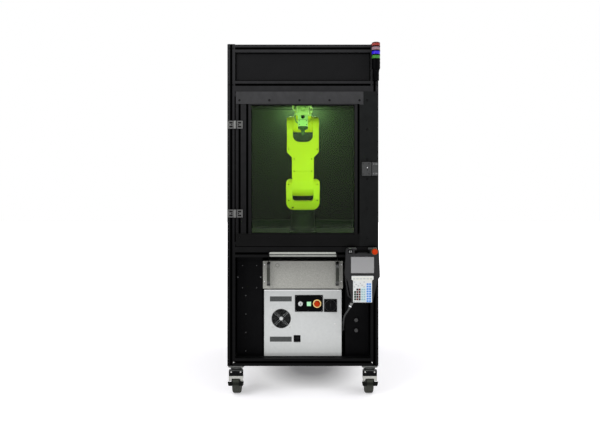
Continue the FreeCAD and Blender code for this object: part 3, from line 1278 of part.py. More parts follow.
def pendant_faces():
    top, front = PENDANT_TOP, PENDANT_FRONT
    half = SCREEN_WIDTH / 2 - RUNNING_GAP
    z1 = top - SCREEN_DOWN - RUNNING_GAP
    z0 = top - SCREEN_DOWN - SCREEN_HEIGHT + RUNNING_GAP
    screen = block(PENDANT_X - half, PENDANT_X + half, front, front + SCREEN_DEPTH, z0, z1)
    saved("pendant_screen", screen)
    half, tabs = KEYPAD_WIDTH / 2, KEYPAD_TABS / 2
    z1 = top - KEYPAD_DOWN
    z0 = z1 - KEYPAD_HEIGHT
    keypad = mirrored([(half, z0, 3), (half, z1 - 22, 2), (tabs, z1 - 22, 3), (tabs, z1, 3)])
    saved("pendant_keypad", prism("y", shifted(keypad), front - KEYPAD_DEPTH, front))


def pendant_knobs():
    face = PENDANT_FRONT
    stem = PENDANT_STEM_R
    x, z = PENDANT_X + PENDANT_KNOB_X, PENDANT_KNOB_Z
    lift = PENDANT_STOP_TRAVEL + RUNNING_GAP
    stop = [
        (0, PENDANT_STEM, 0), (stem, PENDANT_STEM, 0), (stem, -lift, 0), (PENDANT_STOP_R - 4, -lift, 0),
        (PENDANT_STOP_R, -lift - 6, 0), (PENDANT_STOP_R, -lift - 9, 0), (PENDANT_STOP_R - 5, -lift - 14, 0),
        (0, -lift - 14, 0),
    ]
    saved("pendant_estop", turned("y", x, z, face, stop))
    x = PENDANT_X - PENDANT_KNOB_X
    key = turned("y", x, z, face - RUNNING_GAP, [
        (0, PENDANT_STEM, 0), (stem, PENDANT_STEM, 0), (stem, 0, 0), (PENDANT_KEY_R, 0, 0),
        (PENDANT_KEY_R, -KNOB_RIM, 0), (0, -KNOB_RIM, 0),
    ])
    tab = block(x - 2, x + 2, face - 16, face - 7, z - 7, z + 7)
    saved("pendant_key_switch", fused(key, tab))
    wide, high = ENABLE_WIDTH / 2, ENABLE_HEIGHT / 2
    mid = PENDANT_TOP - ENABLE_DOWN
    x = PENDANT_X + ENABLE_X
    pad = prism(
        "y", rectangle(x - wide, x + wide, mid - high, mid + high, 5),
        PENDANT_BACK - ENABLE_WELL + ENABLE_TRAVEL + RUNNING_GAP, PENDANT_BACK + ENABLE_TRAVEL + 2,
    )
    saved("pendant_enable_bar", pad)


def pendant_holder():
    """Sheet bracket on the post, with an upright lip that the pendant's hook drops behind."""
    hook_z = PENDANT_TOP - CLEAT_DOWN
    lip_front = PENDANT_BACK + CLEAT_REACH - 2 * CLEAT_THICKNESS - 2 * RUNNING_GAP
    lip_back = lip_front + CLEAT_THICKNESS
    low = hook_z - CLEAT_HEIGHT - 4
    x0, x1 = PENDANT_X - CLEAT_WIDTH / 2, PENDANT_X + CLEAT_WIDTH / 2
    back = FRONT - HOLDER_SHEET
    plate = block(x0, HALF_W - LOCK_FROM_SIDE, back, FRONT, low - HOLDER_BELOW, hook_z + HOLDER_ABOVE)
    shelf = sharp([
        (back, low), (back, low + CLEAT_THICKNESS), (lip_back, low + CLEAT_THICKNESS), (lip_back, hook_z),
        (lip_front, hook_z), (lip_front, low),
    ])
    lip = prism("x", shelf, x0, x1)
    saved("pendant_holder", fused(plate, lip))


# ---------------------------------------------------------------- pendant cable
def pendant_cable():
    points = [V(*p) for p in CORD_ROUTE]
    runs = [b - a for a, b in zip(points, points[1:])]
    edges, start = [], points[0]
    for i in range(1, len(points) - 1):
        before, after = V(runs[i - 1]), V(runs[i])
        shorter = min(before.Length, after.Length)
        before.normalize()
        after.normalize()
        half = before.getAngle(after) / 2
        cut = CORD_ARC_SHARE * shorter
        radius = cut / math.tan(half)
        print("cable bend", i, "radius", round(radius, 1), "turn", round(math.degrees(2 * half), 1))
        enter, leave = points[i] - before * cut, points[i] + after * cut
        inward = after - before
        inward.normalize()
        middle = points[i] + inward * (radius / math.cos(half) - radius)
        edges.append(Part.LineSegment(start, enter).toShape())
        edges.append(Part.Arc(enter, middle, leave).toShape())
        start = leave
    edges.append(Part.LineSegment(start, points[-1]).toShape())
    path = Part.Wire(edges)
    section = Part.Wire([Part.Circle(points[0], runs[0], CORD_DIAMETER / 2).toShape()])
    tube = path.makePipeShell([section], True, False)
    swept = math.pi * (CORD_DIAMETER / 2) ** 2 * path.Length
    print("cable length", round(path.Length, 1), "volume", round(tube.Volume), "of", round(swept))
    saved("pendant_cable", tube)


os.makedirs("parts", exist_ok=True)
frame_posts()
frame_rails()
header_panel()
side_panels()
rear_panels()
roof_and_ceiling()
work_deck()
bay_panels()
cable_glands()
bay_light_bar()
chamber_light()
door_frame()
door_window()
door_cover_plates()
hinges()
interlock()
signal_tower()
controller_case()
controller_fan()
controller_fan_guard()
controller_switch_plates()
controller_knobs()
laser_source()
casters()
robot_base()
robot_turret()
robot_lower_arm()
robot_elbow()
robot_forearm()
robot_wrist()
tool_bracket()
laser_head()
pendant_body()
pendant_faces()
pendant_knobs()
pendant_holder()
pendant_cable()
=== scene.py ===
import math

import bmesh
import bpy
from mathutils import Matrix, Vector
from mathutils.bvhtree import BVHTree


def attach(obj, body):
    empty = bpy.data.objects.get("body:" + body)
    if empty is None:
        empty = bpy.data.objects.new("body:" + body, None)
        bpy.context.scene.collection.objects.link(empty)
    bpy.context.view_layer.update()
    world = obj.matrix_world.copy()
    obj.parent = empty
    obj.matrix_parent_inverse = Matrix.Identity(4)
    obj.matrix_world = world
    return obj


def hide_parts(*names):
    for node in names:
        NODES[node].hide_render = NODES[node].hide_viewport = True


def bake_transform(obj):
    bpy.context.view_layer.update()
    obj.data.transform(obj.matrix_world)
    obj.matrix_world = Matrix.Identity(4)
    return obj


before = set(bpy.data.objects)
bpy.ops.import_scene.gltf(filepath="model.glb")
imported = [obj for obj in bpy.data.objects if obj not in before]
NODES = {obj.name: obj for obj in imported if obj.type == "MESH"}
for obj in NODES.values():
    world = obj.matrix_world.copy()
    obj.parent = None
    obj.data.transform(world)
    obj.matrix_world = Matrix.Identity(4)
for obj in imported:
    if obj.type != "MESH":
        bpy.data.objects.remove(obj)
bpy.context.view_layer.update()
scene = bpy.context.scene
scene.view_settings.view_transform = "Standard"
for name in ("Cube", "Light", "Camera"):
    if name in bpy.data.objects:
        bpy.data.objects.remove(bpy.data.objects[name])

# ---- camera
camera = bpy.data.objects.new("view_camera", bpy.data.cameras.new("view_camera"))
scene.collection.objects.link(camera)
camera.location = (0, -4.35, 1.29)
camera.rotation_euler = (math.radians(90), 0, 0)
camera.data.sensor_width = 36
camera.data.lens = 38.39
camera.data.shift_x = -0.0048
camera.data.shift_y = -0.062
camera.data.clip_start = 0.05
scene.camera = camera

# ---- mesh helpers, in millimetres
RIGHT, BACKWARD, UP = Vector((1, 0, 0)), Vector((0, 1, 0)), Vector((0, 0, 1))
LEFT, OUT = Vector((-1, 0, 0)), Vector((0, -1, 0))
FAR = 900  # outside the object, where a ray starts


def piece(name, bm, look, body, angle=32):
    """Turns a bmesh in millimetres into a piece that rides on a body."""
    bmesh.ops.scale(bm, vec=(0.001, 0.001, 0.001), verts=bm.verts)
    bmesh.ops.recalc_face_normals(bm, faces=bm.faces)
    mesh = bpy.data.meshes.new(name)
    bm.to_mesh(mesh)
    bm.free()
    mesh.shade_smooth()
    mesh.set_sharp_from_angle(angle=math.radians(angle))
    mesh.materials.append(LOOKS[look])
    made = bpy.data.objects.new(name, mesh)
    scene.collection.objects.link(made)
    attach(made, body)


def shaped(name, look, body, *shapes, angle=32):
    """One piece made of several shapes, each a helper with what it is given."""
    bm = bmesh.new()
    for helper, *given in shapes:
        helper(bm, *given)
    piece(name, bm, look, body, angle)


def add_box(bm, x0, x1, y0, y1, z0, z1, r=0.0, seg=2):
    made = bmesh.ops.create_cube(bm, size=1.0)["verts"]
    for v in made:
        v.co = Vector((
            (x0 + x1) / 2 + v.co.x * (x1 - x0), (y0 + y1) / 2 + v.co.y * (y1 - y0),
            (z0 + z1) / 2 + v.co.z * (z1 - z0),
        ))
    if r:
        edges = list({e for v in made for e in v.link_edges})
        bmesh.ops.bevel(bm, geom=edges, offset=r, segments=seg, profile=0.5, affect="EDGES")


def add_frame(bm, u0, u1, v0, v1, width, axis, lo, hi, r=0.0):
    """A rectangular ring, between an outline and the same outline moved in by width."""
    for a, b, c, d in (
        (u0, u1, v0, v0 + width), (u0, u1, v1 - width, v1), (u0, u0 + width, v0 + width, v1 - width),
        (u1 - width, u1, v0 + width, v1 - width),
    ):
        box = {"x": (lo, hi, a, b, c, d), "y": (a, b, lo, hi, c, d), "z": (a, b, c, d, lo, hi)}[axis]
        add_box(bm, *box, r)


def ring_radius(r, angle):
    if isinstance(r, tuple):
        return r[0] / math.cos((angle + math.pi / 6) % (math.pi / 3) - math.pi / 6)
    return r


def bridge(bm, rings, closed, seg):
    """Faces between each ring of vertices and the next; a ring of one vertex is a tip."""
    pairs = list(zip(rings, rings[1:]))
    if closed:
        pairs.append((rings[-1], rings[0]))
    for a, b in pairs:
        for i in range(seg):
            j = (i + 1) % seg
            loop = list(dict.fromkeys([a[i % len(a)], a[j % len(a)], b[j % len(b)], b[i % len(b)]]))
            if len(loop) > 2:
                bm.faces.new(loop)


def add_lathe(bm, profile, origin, axis, seg=28, closed=False):
    """Surface of revolution from (radius, distance along the axis); a radius in a tuple is a hexagon's."""
    origin, axis = Vector(origin), Vector(axis).normalized()
    u = (UP if abs(axis.z) < 0.9 else RIGHT).cross(axis).normalized()
    v = axis.cross(u)
    rings = []
    for r, d in profile:
        middle = origin + axis * d
        if not isinstance(r, tuple) and r < 1e-6:
            rings.append([bm.verts.new(middle)])
            continue
        ring = []
        for i in range(seg):
            a = 2 * math.pi * i / seg
            ring.append(bm.verts.new(middle + (u * math.cos(a) + v * math.sin(a)) * ring_radius(r, a)))
        rings.append(ring)
    bridge(bm, rings, closed, seg)


def add_tube(bm, points, radius, seg=10, closed=False):
    """A round tube along points; radius is a number or one for each point."""
    points = [Vector(p) for p in points]
    count = len(points)
    radii = radius if isinstance(radius, (list, tuple)) else [radius] * count
    rings, u = [], None
    for i, p in enumerate(points):
        if closed:
            way = points[(i + 1) % count] - points[i - 1]
        else:
            way = points[min(i + 1, count - 1)] - points[max(i - 1, 0)]
        way.normalize()
        if u is None:
            u = way.orthogonal().normalized()
        u = (u - way * u.dot(way)).normalized()
        v = way.cross(u)
        angles = [2 * math.pi * k / seg for k in range(seg)]
        rings.append([bm.verts.new(p + (u * math.cos(a) + v * math.sin(a)) * radii[i]) for a in angles])
    bridge(bm, rings, closed, seg)
    if not closed:
        bm.faces.new(list(reversed(rings[0])))
        bm.faces.new(rings[-1])


def add_prism(bm, outline, axis, lo, hi, r=0.0):
    """An outline (u, v) extruded along an axis; u, v are the other two axes in X, Y, Z order."""
    def at(u, v, w):
        return {"x": (w, u, v), "y": (u, w, v), "z": (u, v, w)}[axis]
    a = [bm.verts.new(at(u, v, lo)) for u, v in outline]
    b = [bm.verts.new(at(u, v, hi)) for u, v in outline]
    bm.faces.new(list(reversed(a)))
    bm.faces.new(b)
    for i in range(len(a)):
        j = (i + 1) % len(a)
        bm.faces.new([a[i], a[j], b[j], b[i]])
    if r:
        edges = list({e for v in a + b for e in v.link_edges})
        bmesh.ops.bevel(bm, geom=edges, offset=r, segments=2, profile=0.5, affect="EDGES")


def rounded(u0, u1, v0, v1, r, steps=5):
    points = []
    middles = ((u1 - r, v1 - r), (u0 + r, v1 - r), (u0 + r, v0 + r), (u1 - r, v0 + r))
    for (cu, cv), start in zip(middles, (0, 90, 180, 270)):
        for i in range(steps + 1):
            a = math.radians(start + 90 * i / steps)
            points.append((cu + r * math.cos(a), cv + r * math.sin(a)))
    return points


def pad(u, v, half_u, half_v, r, steps=5):
    """A rounded rectangle round its middle."""
    return rounded(u - half_u, u + half_u, v - half_v, v + half_v, r, steps)


def add_screw(bm, at, axis, r, h=None, flat=False):
    """A cap screw's head with a hexagon socket; flat is a low button head."""
    h = h or r * 0.7
    s = (r * 0.5,)
    if flat:
        profile = [(0, h * 0.35), (s, h * 0.35), (s, h * 0.95), (r * 0.72, h), (r * 0.95, h * 0.6), (r, 0)]
    else:
        profile = [(0, h * 0.3), (s, h * 0.3), (s, h), (r * 0.9, h), (r, h * 0.88), (r, 0)]
    add_lathe(bm, profile, at, axis, seg=18)


def screws(name, look, body, places, axis, r, h=None, flat=False):
    shaped(name, look, body, *[(add_screw, at, axis, r, h, flat) for at in places], angle=40)


def turned(name, look, body, places, axis, profile, seg=28, angle=32):
    """The same turned shape at several places, as one piece."""
    shaped(name, look, body, *[(add_lathe, profile, at, axis, seg) for at in places], angle=angle)


trees = {}


def surface_point(node, start, way):
    """Where a line from start, in millimetres, meets a CAD node, with the surface's normal there."""
    if node not in trees:
        mesh = NODES[node].data
        trees[node] = BVHTree.FromPolygons([v.co for v in mesh.vertices], [p.vertices for p in mesh.polygons])
    place, normal, _, _ = trees[node].ray_cast(Vector(start) * 0.001, Vector(way))
    return place * 1000, normal


def on_front(node, x, z):
    """The point of a node's front surface at x, z, in millimetres."""
    place, _ = surface_point(node, (x, -FAR, z), BACKWARD)
    return Vector((x, place.y, z))


def on_back(x, z):
    place, _ = surface_point("rear_panels", (x, FAR, z), OUT)
    return place


def circle_places(centre, radius, count, axis="x", start=0.0):
    points = []
    for i in range(count):
        a = math.radians(start + 360 * i / count)
        u, v = radius * math.cos(a), radius * math.sin(a)
        step = {"x": (0, u, v), "y": (u, 0, v), "z": (u, v, 0)}[axis]
        points.append(tuple(c + s for c, s in zip(centre, step)))
    return points


# ---- material helpers
LOOKS = {}


def lin(colour):
    """A colour as displayed, 0 to 255, as a linear one; four numbers are linear already."""
    if len(colour) == 4:
        return colour
    out = []
    for c in colour:
        c /= 255
        out.append(c / 12.92 if c <= 0.04045 else ((c + 0.055) / 1.055) ** 2.4)
    return (*out, 1.0)


def scaled(colour, factor):
    return (*[min(1.0, c * factor) for c in colour[:3]], 1.0)


def link(tree, a, b):
    tree.links.new(a, b)


def feed(tree, socket, value):
    """Links a socket to value, or sets it where value is a number or a colour."""
    if isinstance(value, bpy.types.NodeSocket):
        link(tree, value, socket)
    else:
        socket.default_value = value


def value_node(tree, kind, *inputs, **settings):
    node = tree.nodes.new(kind)
    for key, value in settings.items():
        setattr(node, key, value)
    for socket, value in zip(node.inputs, inputs):
        feed(tree, socket, value)
    return node


def math_node(tree, operation, *inputs):
    return value_node(tree, "ShaderNodeMath", *inputs, operation=operation).outputs[0]


def vector_node(tree, operation, *inputs):
    return value_node(tree, "ShaderNodeVectorMath", *inputs, operation=operation).outputs[0]


def mixed(tree, factor, a, b):
    node = tree.nodes.new("ShaderNodeMix")
    node.data_type = "RGBA"
    for socket, value in ((node.inputs[0], factor), (node.inputs[6], a), (node.inputs[7], b)):
        feed(tree, socket, value)
    return node.outputs[2]


def mixed_value(tree, factor, a, b):
    node = tree.nodes.new("ShaderNodeMix")
    for socket, value in ((node.inputs[0], factor), (node.inputs[2], a), (node.inputs[3], b)):
        feed(tree, socket, value)
    return node.outputs[0]


def place_in(tree, kind="Object"):
    return tree.nodes.new("ShaderNodeTexCoord").outputs[kind]


def noise(tree, scale, detail=3.0, rough=0.55, stretch=None):
    coords = place_in(tree)
    if stretch:
        mapping = tree.nodes.new("ShaderNodeMapping")
        mapping.inputs["Scale"].default_value = stretch
        link(tree, coords, mapping.inputs["Vector"])
        coords = mapping.outputs[0]
    node = tree.nodes.new("ShaderNodeTexNoise")
    node.inputs["Scale"].default_value = scale
    node.inputs["Detail"].default_value = detail
    node.inputs["Roughness"].default_value = rough
    link(tree, coords, node.inputs["Vector"])
    return node.outputs["Fac"]


def ranged(tree, source, low, high, lo_in=0.3, hi_in=0.7):
    return value_node(tree, "ShaderNodeMapRange", source, lo_in, hi_in, low, high).outputs[0]


def inside(tree, x0, x1, y0, y1, z0, z1, both=False):
    """1 inside a box given in millimetres, 0 outside it; both mirrors it in x and y."""
    coords = place_in(tree)
    if both:
        coords = vector_node(tree, "ABSOLUTE", coords)
    sides = ((x0, x1), (y0, y1), (z0, z1))
    away = vector_node(tree, "SUBTRACT", coords, [(a + b) / 2000 for a, b in sides])
    away = vector_node(tree, "ABSOLUTE", away)
    away = vector_node(tree, "SUBTRACT", away, [(b - a) / 2000 for a, b in sides])
    parts = value_node(tree, "ShaderNodeSeparateXYZ", away).outputs
    most = math_node(tree, "MAXIMUM", math_node(tree, "MAXIMUM", parts[0], parts[1]), parts[2])
    return math_node(tree, "LESS_THAN", most, 0.0)


def add_bump(tree, height, strength, depth):
    node = tree.nodes.new("ShaderNodeBump")
    node.inputs["Strength"].default_value = strength
    node.inputs["Distance"].default_value = depth
    link(tree, height, node.inputs["Height"])
    link(tree, node.outputs[0], tree.nodes["Principled BSDF"].inputs["Normal"])


def finish(
    name, colour, rough, spec, metal, vary, scale, bump, bump_scale, bump_depth=0.0002,
    stretch=None, zones=(), coat=0.0, scuffs=0.0, emit=None, subsurface=0.0, blotch=0.0, painted_light_by_height=None,
):
    """A surface whose colour and roughness vary, with a fine bump.

    zones are (box, colour, roughness, metallic); the height gradient, (height, factor, height, factor) in
    metres, is painted light and shade that scales the colour up the object; the other settings are strengths,
    and scales of the noise.
    """
    LOOKS[name] = mat = bpy.data.materials.new(name)
    mat.use_nodes = True
    tree = mat.node_tree
    shader = tree.nodes["Principled BSDF"]
    colour = lin(colour)
    cloud = ranged(tree, noise(tree, scale, stretch=stretch), 0, 1)
    base = mixed(tree, cloud, scaled(colour, 1 - vary), scaled(colour, 1 + vary))
    if blotch:
        broad = ranged(tree, noise(tree, 2.3, 2.0), 0, blotch)
        base = mixed(tree, broad, base, scaled(colour, 0.45))
    roughness = ranged(tree, noise(tree, scale * 0.37, stretch=stretch), rough - 0.08, rough + 0.08)
    if scuffs:
        worn = ranged(tree, noise(tree, 11, 8.0, 0.75), 0, scuffs, 0.6, 0.78)
        base = mixed(tree, worn, base, scaled(colour, 1.9))
        roughness = mixed_value(tree, worn, roughness, min(1.0, rough + 0.25))
    for zone_box, zone_colour, zone_rough, zone_metal in zones:
        here = inside(tree, *zone_box)
        zone_colour = lin(zone_colour)
        cloud = ranged(tree, noise(tree, scale), 0, 1)
        tinted = mixed(tree, cloud, scaled(zone_colour, 0.88), scaled(zone_colour, 1.12))
        base = mixed(tree, here, base, tinted)
        roughness = mixed_value(tree, here, roughness, zone_rough)
        metal = mixed_value(tree, here, metal, zone_metal)
    # painted light and shade: the colour is scaled with height
    if painted_light_by_height:
        height = value_node(tree, "ShaderNodeSeparateXYZ", place_in(tree)).outputs[2]
        factor = ranged(tree, height, painted_light_by_height[1], painted_light_by_height[3], painted_light_by_height[0], painted_light_by_height[2])
        dimmed = value_node(tree, "ShaderNodeVectorMath", base, operation="SCALE")
        link(tree, factor, dimmed.inputs["Scale"])
        base = dimmed.outputs[0]
    feed(tree, shader.inputs["Base Color"], base)
    feed(tree, shader.inputs["Roughness"], roughness)
    feed(tree, shader.inputs["Metallic"], metal)
    shader.inputs["Specular IOR Level"].default_value = spec
    shader.inputs["Coat Weight"].default_value = coat
    shader.inputs["Coat Roughness"].default_value = 0.12
    if subsurface:
        shader.inputs["Subsurface Weight"].default_value = subsurface
        shader.inputs["Subsurface Scale"].default_value = 0.004
    if emit:
        shader.inputs["Emission Color"].default_value = lin(emit[0])
        shader.inputs["Emission Strength"].default_value = emit[1]
    if bump:
        add_bump(tree, noise(tree, bump_scale, 2.0, stretch=stretch), bump, bump_depth)
    return mat


def dress(look, *nodes):
    for node in nodes:
        data = NODES[node].data
        data.materials.clear()
        data.materials.append(LOOKS[look])


# ---- pendant cable, from the gland to the controller's socket
CORD_ROUTE = (
    (0.273, -0.645, 0.541), (0.262, -0.645, 0.518), (0.240, -0.638, 0.488), (0.236, -0.618, 0.440),
    (0.239, -0.575, 0.400), (0.2455, -0.500, 0.372), (0.2455, -0.430, 0.372),
)
CORD_DIAMETER = 0.009


def nurbs(name, points, bevel=0.0):
    curve = bpy.data.curves.new(name, "CURVE")
    curve.dimensions = "3D"
    curve.resolution_u = 16
    curve.bevel_depth = bevel
    curve.bevel_resolution = 5
    spline = curve.splines.new("NURBS")
    spline.points.add(len(points) - 1)
    for point, place in zip(spline.points, points):
        point.co = (*place, 1)
    spline.order_u = 3
    spline.use_endpoint_u = True
    return bpy.data.objects.new(name, curve)


cable_line = [v.co.copy() for v in bpy.data.meshes.new_from_object(nurbs("cable_line", CORD_ROUTE)).vertices]
cable_mesh = bpy.data.meshes.new_from_object(nurbs("cable_tube", CORD_ROUTE, CORD_DIAMETER / 2))
cable_mesh.shade_smooth()
cable = bpy.data.objects.new("pendant_lead", cable_mesh)
scene.collection.objects.link(cable)
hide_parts("pendant_cable")
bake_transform(cable)

# ---- materials
RAIL_LEVELS = ((183.5, 228.5), (821, 911), (1810, 1855), (2023, 2068))
RAIL_SLOTS = (206, 843.5, 888.5, 1832.5, 2045.5)
# painted shade: slot cavities, the gaps beside the posts and bands round the slot mouths are painted near
# black, standing in for the shade in them
SLOT_SHADE = ((2, 2, 2), 0.95, 0.0)
post_slot_shade = [
    ((398.5, 441.5, 556, 599, 184, 2067.5, True), *SLOT_SHADE),
    ((413, 427, 556, 601, 184, 2067.5, True), *SLOT_SHADE),
    ((396.5, 400.5, 556, 601, 911, 1765, True), *SLOT_SHADE),
]
rail_slot_shade = [((-1, 397.4, 556, 599, z0 + 1, z1 - 1, True), *SLOT_SHADE) for z0, z1 in RAIL_LEVELS]
rail_slot_shade += [((398.5, 441.5, -1, 554.9, z0 + 1, z1 - 1, True), *SLOT_SHADE) for z0, z1 in RAIL_LEVELS]
rail_slot_shade += [((-1, 397.4, 556, 601, z - 7, z + 7, True), *SLOT_SHADE) for z in RAIL_SLOTS]
DOOR_BARS = (
    (-392.5, -304.5, 917, 1759), (304.5, 392.5, 917, 1759), (-303.4, 303.4, 917, 960),
    (-303.4, 303.4, 1716, 1759)
)
door_slot_shade = [((x0, x1, -599.5, -556.5, z0, z1), *SLOT_SHADE) for x0, x1, z0, z1 in DOOR_BARS]
door_slot_shade += [((x - 6.5, x + 6.5, 556, 601, 917, 1759, True), *SLOT_SHADE) for x in (326, 371)]
# painted shade: the bars, posts and door bars darken towards the bottom, standing in for light from above
for name, zones in (("bar_black", rail_slot_shade), ("post_black", post_slot_shade), ("door_black", door_slot_shade)):
    finish(
        name, (40, 40, 41), 0.42, 0.02, 0, 0.1, 25, 0.12, 1500, zones=zones, scuffs=0.2,
        painted_light_by_height=(0.80, 0.17, 2.04, 1.0),
    )

# name, colour as displayed, roughness, specular, metallic, colour's spread and scale, bump and its scale
for look in (
    ("panel_black", (15, 15, 16), 0.5, 0.05, 0, 0.12, 14, 0, 1100),
    ("header_black", (18, 18, 19), 0.42, 0.06, 0, 0.08, 9, 0.25, 1100),
    ("bay_black", (8, 8, 9), 0.55, 0.025, 0, 0.14, 18, 0.35, 900),
    ("black_plastic", (7, 7, 8), 0.45, 0.04, 0, 0.08, 60, 0.3, 1600),
    ("plate_black", (4, 4, 5), 0.5, 0.02, 0, 0.08, 60, 0.2, 1600),
    ("black_gloss", (5, 5, 6), 0.25, 0.05, 0, 0.05, 60, 0.05, 900),
    ("tower_black", (3, 3, 4), 0.4, 0.02, 0, 0.1, 60, 0.2, 1500),
    ("rubber_black", (6, 6, 6), 0.85, 0.03, 0, 0.15, 60, 0.4, 1400),
    # painted shade: a near-black paint standing in for the shade in holes, openings and recesses
    ("painted_hole_shade", (4, 4, 4), 0.9, 0.02, 0, 0.1, 60, 0, 900),
    ("white_plastic", (222, 222, 224), 0.35, 0.3, 0, 0.02, 60, 0.1, 900),
    ("keypad_white", (184, 186, 185), 0.42, 0.3, 0, 0.02, 60, 0.15, 900),
    ("screw_dim", (62, 62, 62), 0.4, 0.2, 0, 0.06, 300, 0.1, 900),
    ("screw_black", (12, 12, 13), 0.4, 0.12, 0, 0.1, 300, 0.1, 900),
    ("screw_steel", (178, 178, 175), 0.28, 0.5, 1.0, 0.06, 200, 0.1, 900),
    ("lock_grey", (55, 56, 56), 0.55, 0.12, 0, 0.07, 120, 0.45, 1100),
    ("lock_light", (92, 93, 93), 0.5, 0.12, 0, 0.06, 120, 0.4, 1100),
    ("gland_grey", (66, 66, 66), 0.55, 0.1, 0, 0.05, 60, 0.25, 900),
    ("enable_grey", (150, 152, 150), 0.6, 0.5, 0, 0.04, 60, 0.3, 900),
    ("lid_edge", (214, 215, 214), 0.4, 0.5, 0, 0.02, 60, 0.2, 900),
    ("vent_mesh", (60, 62, 62), 0.6, 0.3, 0.4, 0.1, 200, 0.15, 900),
    ("guard_wire", (66, 67, 67), 0.32, 0.5, 0.75, 0.05, 200, 0.1, 900),
    ("guard_strut", (136, 138, 138), 0.35, 0.5, 0.5, 0.05, 60, 0.1, 900),
    ("faint_mark", (112, 112, 107), 0.55, 0.5, 0, 0.05, 200, 0.2, 900),
    ("handle_grip", (52, 54, 49), 0.5, 0.1, 0, 0.05, 60, 0.15, 900),
    ("ear_edge", (84, 85, 84), 0.35, 0.5, 0, 0.04, 60, 0.1, 900),
    ("olive_ring", (92, 74, 26), 0.5, 0.5, 0, 0.04, 60, 0.1, 900),
    ("ring_yellow", (232, 194, 118), 0.4, 0.5, 0, 0.03, 60, 0.1, 900),
    ("stop_red", (168, 44, 2), 0.45, 0.06, 0, 0.04, 60, 0.15, 900),
    ("robot_dark", (26, 31, 28), 0.5, 0.2, 0, 0.08, 30, 0.35, 600),
    ("brass_fitting", (196, 190, 160), 0.28, 0.5, 0.85, 0.06, 60, 0.1, 900),
    ("hose_white", (206, 214, 204), 0.35, 0.5, 0, 0.03, 60, 0.1, 900),
    ("hose_blue", (70, 120, 120), 0.35, 0.5, 0, 0.03, 60, 0.1, 900),
    ("hub_grey", (96, 98, 96), 0.5, 0.35, 0, 0.08, 60, 0.2, 900),
):
    finish(*look)
# painted light: the inner rear wall is painted lighter towards the top, standing in for the chamber lamp's
# glow, and a green patch low on it, just above the deck, stands in for green light reflected there
finish(
    "inner_black", (28, 28, 30), 0.5, 0.05, 0, 0.12, 14, 0, 1100, painted_light_by_height=(1.0, 0.42, 1.75, 2.35),
    zones=[((-420, 420, 498, 556, 893, 966), (24, 48, 22), 0.5, 0.0)],
)
# painted light and shade: the covers darken towards the bottom, the top cover is painted lighter, standing in
# for light from above, and the right-hand cover is a little lighter
finish(
    "cover_black", (15, 15, 15), 0.45, 0.03, 0, 0.08, 20, 0.3, 1000, painted_light_by_height=(0.95, 0.6, 1.78, 1.12),
    zones=[
        ((331, 436, -606, -599, 880, 1800), (23, 24, 24), 0.42, 0.0),
        ((-396, 354.5, -606, -599, 1716, 1800), (50, 50, 51), 0.42, 0.0),
    ],
)
finish(
    "deck_metal", (0.075, 0.08, 0.078, 1), 0.42, 0.5, 0.6, 0.1, 40, 0.25, 500, stretch=(1, 8, 1), scuffs=0.3
)
# painted shade: the lower part of the bar is painted darker, standing in for shade under its lit top
finish(
    "light_bar", (136, 138, 131), 0.35, 0.5, 0, 0.03, 60, 0.1, 900,
    zones=[((-230, 230, -620, -590, 820, 838.0), (104, 106, 101), 0.4, 0.0)],
)
finish("source_panel", (147, 147, 141), 0.6, 0.3, 0, 0.18, 230, 0.4, 700, blotch=0.1)
# painted light and shade: the case is painted lighter towards the bottom and darker towards the lid, and its
# inside is painted near black, standing in for the shade in its openings
finish(
    "controller_grey", (176, 178, 177), 0.5, 0.3, 0, 0.03, 60, 0.5, 520, bump_depth=0.0003,
    painted_light_by_height=(0.21, 1.28, 0.6, 0.92),
    zones=[
        ((-233.5, 233.5, -478.2, -160, 211.5, 608.5), (14, 14, 15), 0.6, 0.0),
        ((234.5, 256, -440, -360, 340, 400), (20, 20, 21), 0.45, 0.0),
        ((-240, 240, -485, -150, 200, 210.0), (20, 20, 20), 0.8, 0.0),
        ((-199.5, -67.5, -481, -476, 539, 570), (70, 72, 71), 0.6, 0.0),
        ((-199.5, -67.5, -481, -476, 295.5, 326.5), (70, 72, 71), 0.6, 0.0),
    ],
)
finish(
    "dark_handle", (37, 38, 36), 0.35, 0.3, 0.2, 0.06, 60, 0.1, 900,
    zones=[((-230, 230, -530, -470, z, z + 16), (10, 10, 10), 0.5, 0.0) for z in (764, 636)],
)
finish("zinc", (74, 75, 73), 0.42, 0.5, 0.6, 0.14, 90, 0.2, 420, scuffs=0.2)
# painted light and shade: a painted highlight down the left of each knuckle, a painted shadow stripe beside
# it, and the leaves darken towards the bottom
finish(
    "hinge_metal", (78, 78, 77), 0.42, 0.5, 0.5, 0.07, 80, 0.35, 800, scuffs=0.2, painted_light_by_height=(1.08, 0.66, 1.6, 1.0),
    zones=[
        ((-404.5, -394, -640, -600, 1000, 1700), (120, 120, 118), 0.38, 0.5),
        ((-391.5, -386.5, -640, -600, 1000, 1700), (26, 26, 26), 0.6, 0.0),
    ],
)
finish("robot_yellow", (0.83, 0.74, 0.03, 1), 0.38, 0.35, 0, 0.03, 12, 0.25, 420, bump_depth=0.0004, coat=0.1)
finish(
    "head_metal", (205, 210, 203), 0.32, 0.5, 0.15, 0.06, 90, 0.15, 900, stretch=(1, 1, 0.1),
    zones=[((-40, 40, -500, -400, 1500, 1600), (72, 84, 72), 0.35, 0.5)],
)
finish("head_silver", (214, 210, 186), 0.26, 0.5, 0.1, 0.03, 60, 0.1, 900, coat=0.3)
finish("pendant_grey", (34, 34, 35), 0.55, 0.08, 0, 0.06, 200, 0.55, 1500, bump_depth=0.00025)
